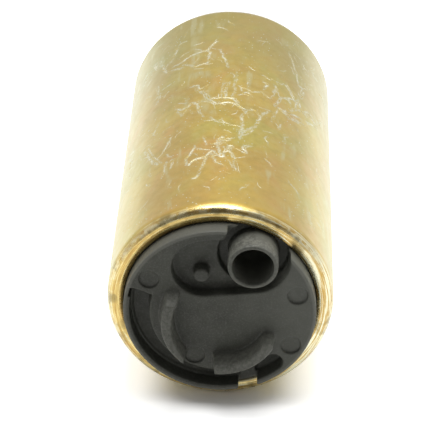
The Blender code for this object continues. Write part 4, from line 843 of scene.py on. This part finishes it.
class Paint(Nodes):
    """A material under construction. Places are millimetres."""

    def __init__(self, name, colour, roughness, metallic=0.0, **sockets):
        self.material = bpy.data.materials.new(name)
        self.material.use_nodes = True
        super().__init__(self.material.node_tree)
        self.shader = self.tree.nodes["Principled BSDF"]
        self.put("Base Color", (*colour, 1.0))
        self.put("Roughness", roughness)
        self.put("Metallic", metallic)
        for socket, value in sockets.items():
            self.put(socket.replace("_", " "), value)
        place = self.node("TexCoord").outputs["Object"]
        self.place = self.math("MULTIPLY", place, (1000.0, 1000.0, 1000.0), kind="Vector")

    def put(self, socket, value):
        self.feed(self.shader.inputs[socket], value)

    def noise(self, scale, detail=2.0, stretch=(1, 1, 1), distortion=0.0, rough=0.5, shift=0.0,
              at=None):
        place = self.math("MULTIPLY", at or self.place, tuple(stretch), kind="Vector")
        if shift:
            place = self.math("ADD", place, (shift, shift, shift), kind="Vector")
        made = self.node("TexNoise")
        self.feed(made.inputs["Vector"], place)
        made.inputs["Scale"].default_value = scale
        made.inputs["Detail"].default_value = detail
        made.inputs["Roughness"].default_value = rough
        made.inputs["Distortion"].default_value = distortion
        return made.outputs["Fac"]

    def cells(self, scale, shift=0.0):
        made = self.node("TexVoronoi", feature="F1")
        self.feed(made.inputs["Vector"],
                  self.math("ADD", self.place, (shift, shift, shift), kind="Vector"))
        made.inputs["Scale"].default_value = scale
        return made.outputs["Distance"]

    def pump_axes(self):
        """Distance from the pump's axis and place along it in mm, and radians from the top."""
        x, y, z = self.parts(self.math("SUBTRACT", self.place, (0.0, AXIS_Y, AXIS_Z),
                                       kind="Vector"))
        return self.length(x, z), y, self.math("ARCTAN2", x, z)

    def from_inlet(self):
        """Distance from the inlet nipple's axis."""
        x, _, z = self.parts(self.math("SUBTRACT", self.place,
                                       (INLET[0], 0.0, INLET[1] + AXIS_Z), kind="Vector"))
        return self.length(x, z)

    def bump(self, height, strength, distance, onto=None):
        made = self.node("Bump")
        made.inputs["Strength"].default_value = strength
        made.inputs["Distance"].default_value = distance * MM
        self.feed(made.inputs["Height"], height)
        if onto is not None:
            self.feed(made.inputs["Normal"], onto)
        self.put("Normal", made.outputs[0])
        return made.outputs[0]


def zinc():
    """Yellow chromated zinc on steel: cloudy gold with green and orange tints, with wear, painted highlights and
    painted shade at the lips.
    """
    p = Paint("yellow_zinc", (0.5, 0.34, 0.05), 0.35, 1.0,
              Coat_Weight=0.9, Coat_IOR=1.55, Coat_Roughness=0.3, Coat_Tint=(0.86, 0.96, 1.0, 1.0))
    out, along, angle = p.pump_axes()

    # Clouds and tints of the film, and a painted reflection toward the sides
    cloud = p.noise(0.08, 3.0, distortion=0.2)
    tint = p.noise(0.11, 3.0, shift=31.0, distortion=0.3)
    fleck = p.noise(0.7, 3.0, shift=11.0, rough=0.6)
    colour = p.mix(p.ramp(cloud, 0.35, 0.65), (0.64, 0.37, 0.03), (0.76, 0.48, 0.05))
    colour = p.mix(p.ramp(tint, 0.50, 0.66, 0.0, 0.6), colour, (0.60, 0.46, 0.05))
    colour = p.mix(p.ramp(tint, 0.48, 0.32, 0.0, 0.6), colour, (0.77, 0.38, 0.07))
    colour = p.mix(p.ramp(fleck, 0.45, 0.70, 0.0, 0.30), colour, (0.74, 0.55, 0.18))
    colour = p.mix(p.ramp(fleck, 0.50, 0.30, 0.0, 0.30), colour, (0.46, 0.30, 0.02))
    beside = p.math("ABSOLUTE", angle)
    warm = p.math("MULTIPLY", p.ramp(along, 26.0, 6.0, 0.0, 0.35), p.ramp(beside, 1.0, 0.4))
    colour = p.mix(warm, colour, (0.70, 0.38, 0.06))
    # Painted reflection: greener and paler toward the sides
    colour = p.mix(p.ramp(beside, 0.5, 1.2, 0.0, 0.4), colour, (0.62, 0.50, 0.08))
    colour = p.mix(p.ramp(along, 40.0, 66.0, 0.0, 0.5), colour, (0.42, 0.34, 0.06))

    # Film rubbed thin, in patches, beside the scratches and in small nicks
    rub = p.noise(0.5, 3.0, stretch=(1.0, 0.2, 1.0), shift=20.0)
    rub = p.math("MULTIPLY", p.ramp(rub, 0.55, 0.68), p.ramp(p.noise(0.12, 2.0, shift=44.0),
                                                            0.48, 0.62, 0.0, 0.5))
    colour = p.mix(rub, colour, (0.74, 0.62, 0.30))
    rubbed = p.node("Attribute", attribute_name="rubbed").outputs["Fac"]
    rubbed = p.math("MULTIPLY", p.ramp(rubbed, 0.15, 0.85),
                    p.ramp(p.noise(3.2, 4.0, shift=70.0, rough=0.7), 0.40, 0.60, 0.0, 0.8))
    nicks = p.math("MULTIPLY", p.ramp(p.cells(1.2, 13.0), 0.18, 0.08),
                   p.ramp(p.noise(0.16, 2.0, shift=90.0), 0.42, 0.58))
    rubbed = p.math("MAXIMUM", rubbed, p.math("MULTIPLY", nicks, 0.9))
    colour = p.mix(rubbed, colour, (0.80, 0.77, 0.60))

    # Rolled lips: fine rings, pale streaks, a pale crest, stains, and painted shade on the inner edge near the
    # floor
    end = p.math("MINIMUM", along, p.math("SUBTRACT", CAN_LENGTH, along))
    lip = p.ramp(end, 1.9, 0.7)
    rings = p.noise(1.0, 4.0, rough=0.65,
                    at=p.vector(p.math("MULTIPLY", out, 3.2), p.math("MULTIPLY", along, 3.2),
                                p.math("MULTIPLY", angle, 2.2)))
    lip_wear_and_light = p.mix(p.ramp(rings, 0.38, 0.62), (0.55, 0.30, 0.06), (0.86, 0.61, 0.20))
    x, _, z = p.parts(p.place)
    # Pale streaks of wear, with more of them toward the right as painted highlight
    bright = p.math("ADD", rings, p.ramp(x, 0.0, 17.0, 0.0, 0.12))
    lip_wear_and_light = p.mix(p.ramp(bright, 0.56, 0.70, 0.0, 0.85), lip_wear_and_light, (0.97, 0.87, 0.64))
    # Pale crest: partly wear, partly a painted highlight along the roll
    crest = p.math("MULTIPLY", p.ramp(out, 17.8, 18.3), p.ramp(out, 18.85, 18.5))
    crest = p.math("MULTIPLY", crest, p.ramp(p.noise(0.9, 4.0, shift=33.0), 0.40, 0.62, 0.0, 0.6))
    lip_wear_and_light = p.mix(crest, lip_wear_and_light, (0.95, 0.80, 0.50))
    stain = p.noise(0.28, 3.0, shift=61.0)
    lip_wear_and_light = p.mix(p.ramp(stain, 0.54, 0.68, 0.0, 0.7), lip_wear_and_light, (0.26, 0.17, 0.04))
    # Painted shade: the lip's inner edge darker close to the floor
    painted_shade_inner_edge = p.math("MULTIPLY", p.ramp(out, 16.8, 16.5), p.ramp(z, 8.0, 4.0, 0.0, 0.8))
    lip_wear_and_light = p.mix(painted_shade_inner_edge, lip_wear_and_light, (0.26, 0.23, 0.14))
    p.put("Base Color", p.mix(lip, colour, lip_wear_and_light))

    smooth = p.ramp(p.noise(0.6, 3.0, shift=3.0), 0.3, 0.7, 0.32, 0.42)
    smooth = p.math("MULTIPLY_ADD", rubbed, 0.12, smooth)
    p.put("Roughness", p.math("SUBTRACT", smooth, p.math("MULTIPLY", lip, 0.09)))
    first = p.bump(p.noise(2.2, 3.0), 0.2, 0.03)
    p.bump(p.math("MULTIPLY", rings, lip), 0.35, 0.10, onto=first)
    return p.material


def bare_zinc():
    """Floor of a scratch, where the yellow film is gone."""
    p = Paint("bare_zinc", (0.66, 0.61, 0.42), 0.48, 1.0)
    shade = p.noise(0.8, 4.0, rough=0.6)
    colour = p.mix(p.ramp(shade, 0.36, 0.52), (0.60, 0.45, 0.10), (0.68, 0.62, 0.40))
    p.put("Base Color", p.mix(p.ramp(shade, 0.50, 0.66), colour, (0.82, 0.80, 0.66)))
    p.put("Roughness", p.ramp(shade, 0.3, 0.7, 0.42, 0.56))
    p.bump(p.noise(6.0, 2.0), 0.3, 0.02)
    return p.material


def resin(name, colour, grain_scale=3.0, depth=0.04, roughness=0.5, pale=0.2):
    """Glass-filled moulded resin: fine grain, faint flow clouds and pale glass specks."""
    p = Paint(name, colour, roughness)
    darker = tuple(0.82 * c for c in colour)
    lighter = tuple(1.22 * c for c in colour)
    base = p.mix(p.ramp(p.noise(0.25, 4.0), 0.35, 0.65), darker, lighter)
    speck = p.ramp(p.noise(5.0, 2.0, shift=7.0), 0.62, 0.74, 0.0, pale)
    p.put("Base Color", p.mix(speck, base, tuple(min(1.0, 3.2 * c) for c in colour)))
    p.put("Roughness", p.ramp(p.noise(1.2, 3.0, shift=15.0), 0.3, 0.7, roughness - 0.06,
                              roughness + 0.10))
    p.bump(p.noise(grain_scale, 4.0, rough=0.6), 0.35, depth)
    return p.material


def cover_resin():
    """The cover's grey-black resin: grain, pale glass specks, a painted lighter right side, a painted highlight on
    the rim, painted light in the inlet's bore, and raised parts lighter, partly rubbed and partly painted light.
    """
    p = Paint("cover_resin_moulded", (0.06, 0.06, 0.05), 0.5, Specular_IOR_Level=0.3)
    out, along, _ = p.pump_axes()
    base = p.mix(p.ramp(p.noise(0.22, 4.0), 0.32, 0.68), (0.041, 0.042, 0.033),
                 (0.054, 0.056, 0.044))
    grain = p.noise(3.2, 4.0, rough=0.65)
    base = p.mix(p.ramp(grain, 0.45, 0.72, 0.0, 0.55), base, (0.10, 0.10, 0.088))
    x, _, _ = p.parts(p.place)
    # Painted light: the face grows lighter toward the right
    base = p.mix(p.ramp(p.math("MULTIPLY_ADD", p.noise(0.12, 3.0, shift=24.0), 8.0, x), 3.0, 19.0,
                        0.0, 0.55), base, (0.105, 0.108, 0.092))
    patchy = p.ramp(p.noise(1.6, 4.0, shift=5.0, rough=0.65), 0.34, 0.66)
    # Nipple wall and parts standing out from the face: lighter, partly rubbed and partly painted light
    hose_wear_and_light = p.math("MULTIPLY", p.ramp(p.from_inlet(), 3.95, 4.12), p.ramp(p.from_inlet(), 4.5, 4.3))
    hose_wear_and_light = p.math("MULTIPLY", hose_wear_and_light, p.ramp(along, 0.6, FACE))
    # Painted highlight on the cover's rim
    rim_highlight = p.math("MULTIPLY", p.ramp(out, 15.35, 15.75), p.ramp(along, 1.6, FACE + 1.0))
    raised_wear_and_light = p.math("MULTIPLY", p.ramp(along, FACE + 0.1, FACE - 1.0), 0.42)
    # Painted light inside the nipple's bore
    bore = p.math("MULTIPLY", p.ramp(p.from_inlet(), 3.75, 3.6), p.ramp(along, FACE - 1.8, FACE))
    base = p.mix(bore, base, (0.12, 0.12, 0.10))
    # Rubbed wear mixed with painted light, and the rim's painted highlight
    rubbed = p.math("MULTIPLY", p.math("MAXIMUM", hose_wear_and_light, raised_wear_and_light),
                    p.math("MULTIPLY_ADD", patchy, 0.6, 0.2))
    base = p.mix(p.math("MAXIMUM", rubbed, p.math("MULTIPLY", rim_highlight, 0.4)), base,
                 (0.21, 0.21, 0.18))
    p.put("Base Color", base)
    p.put("Roughness", p.ramp(p.noise(1.2, 3.0, shift=15.0), 0.3, 0.7, 0.46, 0.62))
    fine = p.bump(grain, 0.35, 0.05)
    p.bump(p.noise(0.9, 2.0, shift=2.0), 0.2, 0.05, onto=fine)
    return p.material


def metal(name, colour, roughness, streak=(1, 1, 1), scale=2.0):
    """Metal with the fine lines that drawing, turning or rolling leaves."""
    p = Paint(name, colour, roughness, 1.0)
    lines = p.noise(scale, 4.0, stretch=streak)
    p.put("Base Color", p.mix(p.ramp(lines, 0.3, 0.7), tuple(0.8 * c for c in colour),
                              tuple(min(1.0, 1.12 * c) for c in colour)))
    p.put("Roughness", p.ramp(lines, 0.3, 0.7, roughness - 0.06, roughness + 0.12))
    p.bump(lines, 0.2, 0.01)
    return p.material


MATERIALS = {
    "zinc_steel": zinc(),
    "cover_resin": cover_resin(),
    "casing_resin": resin("casing_resin_moulded", (0.030, 0.028, 0.026)),
    "cap_resin": resin("cap_resin_moulded", (0.040, 0.040, 0.037)),
    "impeller_resin": resin("impeller_resin_moulded", (0.020, 0.018, 0.016), roughness=0.42),
    "ferrite": resin("ferrite_pressed", (0.045, 0.043, 0.045), 1.5, 0.05, 0.68),
    "carbon": resin("carbon_pressed", (0.035, 0.035, 0.037), 2.5, 0.03, 0.58),
    "insulation": resin("insulation_sheet", (0.42, 0.10, 0.05), 2.0, 0.02, 0.6, 0.05),
    "rubber": resin("rubber_moulded", (0.014, 0.014, 0.014), 1.5, 0.02, 0.7, 0.05),
    "bronze": metal("bronze_sintered", (0.46, 0.27, 0.11), 0.45, scale=3.0),
    "steel": metal("steel_ground", (0.55, 0.55, 0.56), 0.26, (1, 6, 1)),
    "spring_steel": metal("spring_wire", (0.42, 0.42, 0.43), 0.34),
    "laminations": metal("laminated_core", (0.23, 0.23, 0.24), 0.45, (0.2, 4, 0.2)),
    "copper": metal("copper_drawn", (0.72, 0.33, 0.18), 0.30, (1, 4, 1)),
    "enamelled_wire": metal("enamelled_copper", (0.45, 0.16, 0.05), 0.33, (3, 0.4, 3)),
    "brass": metal("brass_turned", (0.72, 0.52, 0.22), 0.30, (0.5, 6, 0.5)),
    "tin": metal("tinned_brass", (0.62, 0.62, 0.60), 0.34, (1, 3, 1)),
}
SLOTS = {part["node"]: part["material_slot"] for part in frame["record"]["subparts"]}


def dress(obj, slot):
    """Give an object the finish of its material slot in the record."""
    for material_slot in obj.material_slots:
        material_slot.material = MATERIALS[slot]
    if not obj.material_slots:
        obj.data.materials.append(MATERIALS[slot])


for node, obj in frame["nodes"].items():
    dress(obj, SLOTS[node])
dress(cover, "cover_resin")
dress(can, "zinc_steel")
can.data.materials.append(bare_zinc())
dress(cap, "cap_resin")


# Floor, light and camera, in metres

FLOOR_RADIUS = 1.6
SHADOW_X = 0.0005           # middle and half widths of the part of the floor that keeps its shade
SHADOW_REACH_X = 0.0145
SHADOW_REACH_Y = 0.0062
GLOW_SEEN = 0.6
GLOW_MIRRORED = 0.22
ROOM_BRIGHT = 0.81
ROOM_DARK = 0.18
CAMERA_LENS = 171.4
CAMERA_PLACE = (0.008588, (AXIS_Y - 284.286) * MM, 0.216145)
CAMERA_AIM = (-0.001044, (AXIS_Y + 20.0) * MM, 0.023389)

bpy.ops.mesh.primitive_circle_add(vertices=96, radius=FLOOR_RADIUS, fill_type="NGON")
floor = bpy.context.object
floor.name = "floor"
floor_material = bpy.data.materials.new("floor_white")
floor_material.use_nodes = True
n = Nodes(floor_material.node_tree)
n.tree.nodes.clear()
diffuse = n.node("BsdfDiffuse")
diffuse.inputs["Color"].default_value = (1.0, 1.0, 0.985, 1.0)
# Blank white backdrop, which leaves the object's shadow close in front of it
x, y, _ = n.parts(n.node("TexCoord").outputs["Object"])
before = n.math("MAXIMUM", n.math("SUBTRACT", (AXIS_Y + 1.0) * MM, y), 0.0)
away = n.length(n.math("DIVIDE", n.math("SUBTRACT", x, SHADOW_X), SHADOW_REACH_X),
                n.math("DIVIDE", before, SHADOW_REACH_Y))
level = n.math("MULTIPLY_ADD", n.ray("Camera"), GLOW_SEEN,
               n.math("MULTIPLY", n.ray("Glossy"), GLOW_MIRRORED))
glow = n.node("Emission")
n.feed(glow.inputs["Strength"], n.math("MULTIPLY", level, n.ramp(away, 0.5, 1.1)))
both = n.node("AddShader")
n.feed(both.inputs[0], diffuse.outputs[0])
n.feed(both.inputs[1], glow.outputs[0])
n.feed(n.node("OutputMaterial").inputs["Surface"], both.outputs[0])
floor.data.materials.append(floor_material)

# The room is white, but darker toward the front and up
world = bpy.data.worlds.new("white_room")
bpy.context.scene.world = world
world.use_nodes = True
n = Nodes(world.node_tree)
facing = n.math("DOT_PRODUCT", n.node("TexCoord").outputs["Generated"], (0.0, -0.82, 0.57),
                kind="Vector")
room = n.ramp(facing, 0.42, 0.82, ROOM_BRIGHT, ROOM_DARK)
sky = n.tree.nodes["Background"]
sky.inputs["Color"].default_value = (1.0, 1.0, 1.0, 1.0)
n.feed(sky.inputs["Strength"], n.math("MAXIMUM", room, n.ray("Camera")))


def lamp(name, place, aim, size, power):
    data = bpy.data.lights.new(name, "AREA")
    data.shape = "RECTANGLE"
    data.size, data.size_y = size
    data.energy = power
    obj = bpy.data.objects.new(name, data)
    bpy.context.scene.collection.objects.link(obj)
    obj.location = place
    obj.rotation_euler = (Vector(aim) - Vector(place)).to_track_quat("-Z", "Y").to_euler()


lamp("top_softbox", (0.0, 0.045, 0.57), (0.0, 0.0, 0.02), (0.26, 0.26), 2.1)

# The camera is fitted to the photo's edges
camera_data = bpy.data.cameras.new("camera")
camera_data.lens = CAMERA_LENS
camera_data.sensor_width = 36.0
camera_data.clip_start = 0.02
camera_data.clip_end = 10.0
camera = bpy.data.objects.new("camera", camera_data)
bpy.context.scene.collection.objects.link(camera)
camera.location = CAMERA_PLACE
aim = Vector(CAMERA_AIM) - camera.location
camera.rotation_euler = aim.to_track_quat("-Z", "Y").to_euler()
bpy.context.scene.camera = camera
bpy.context.scene.view_settings.view_transform = "Standard"
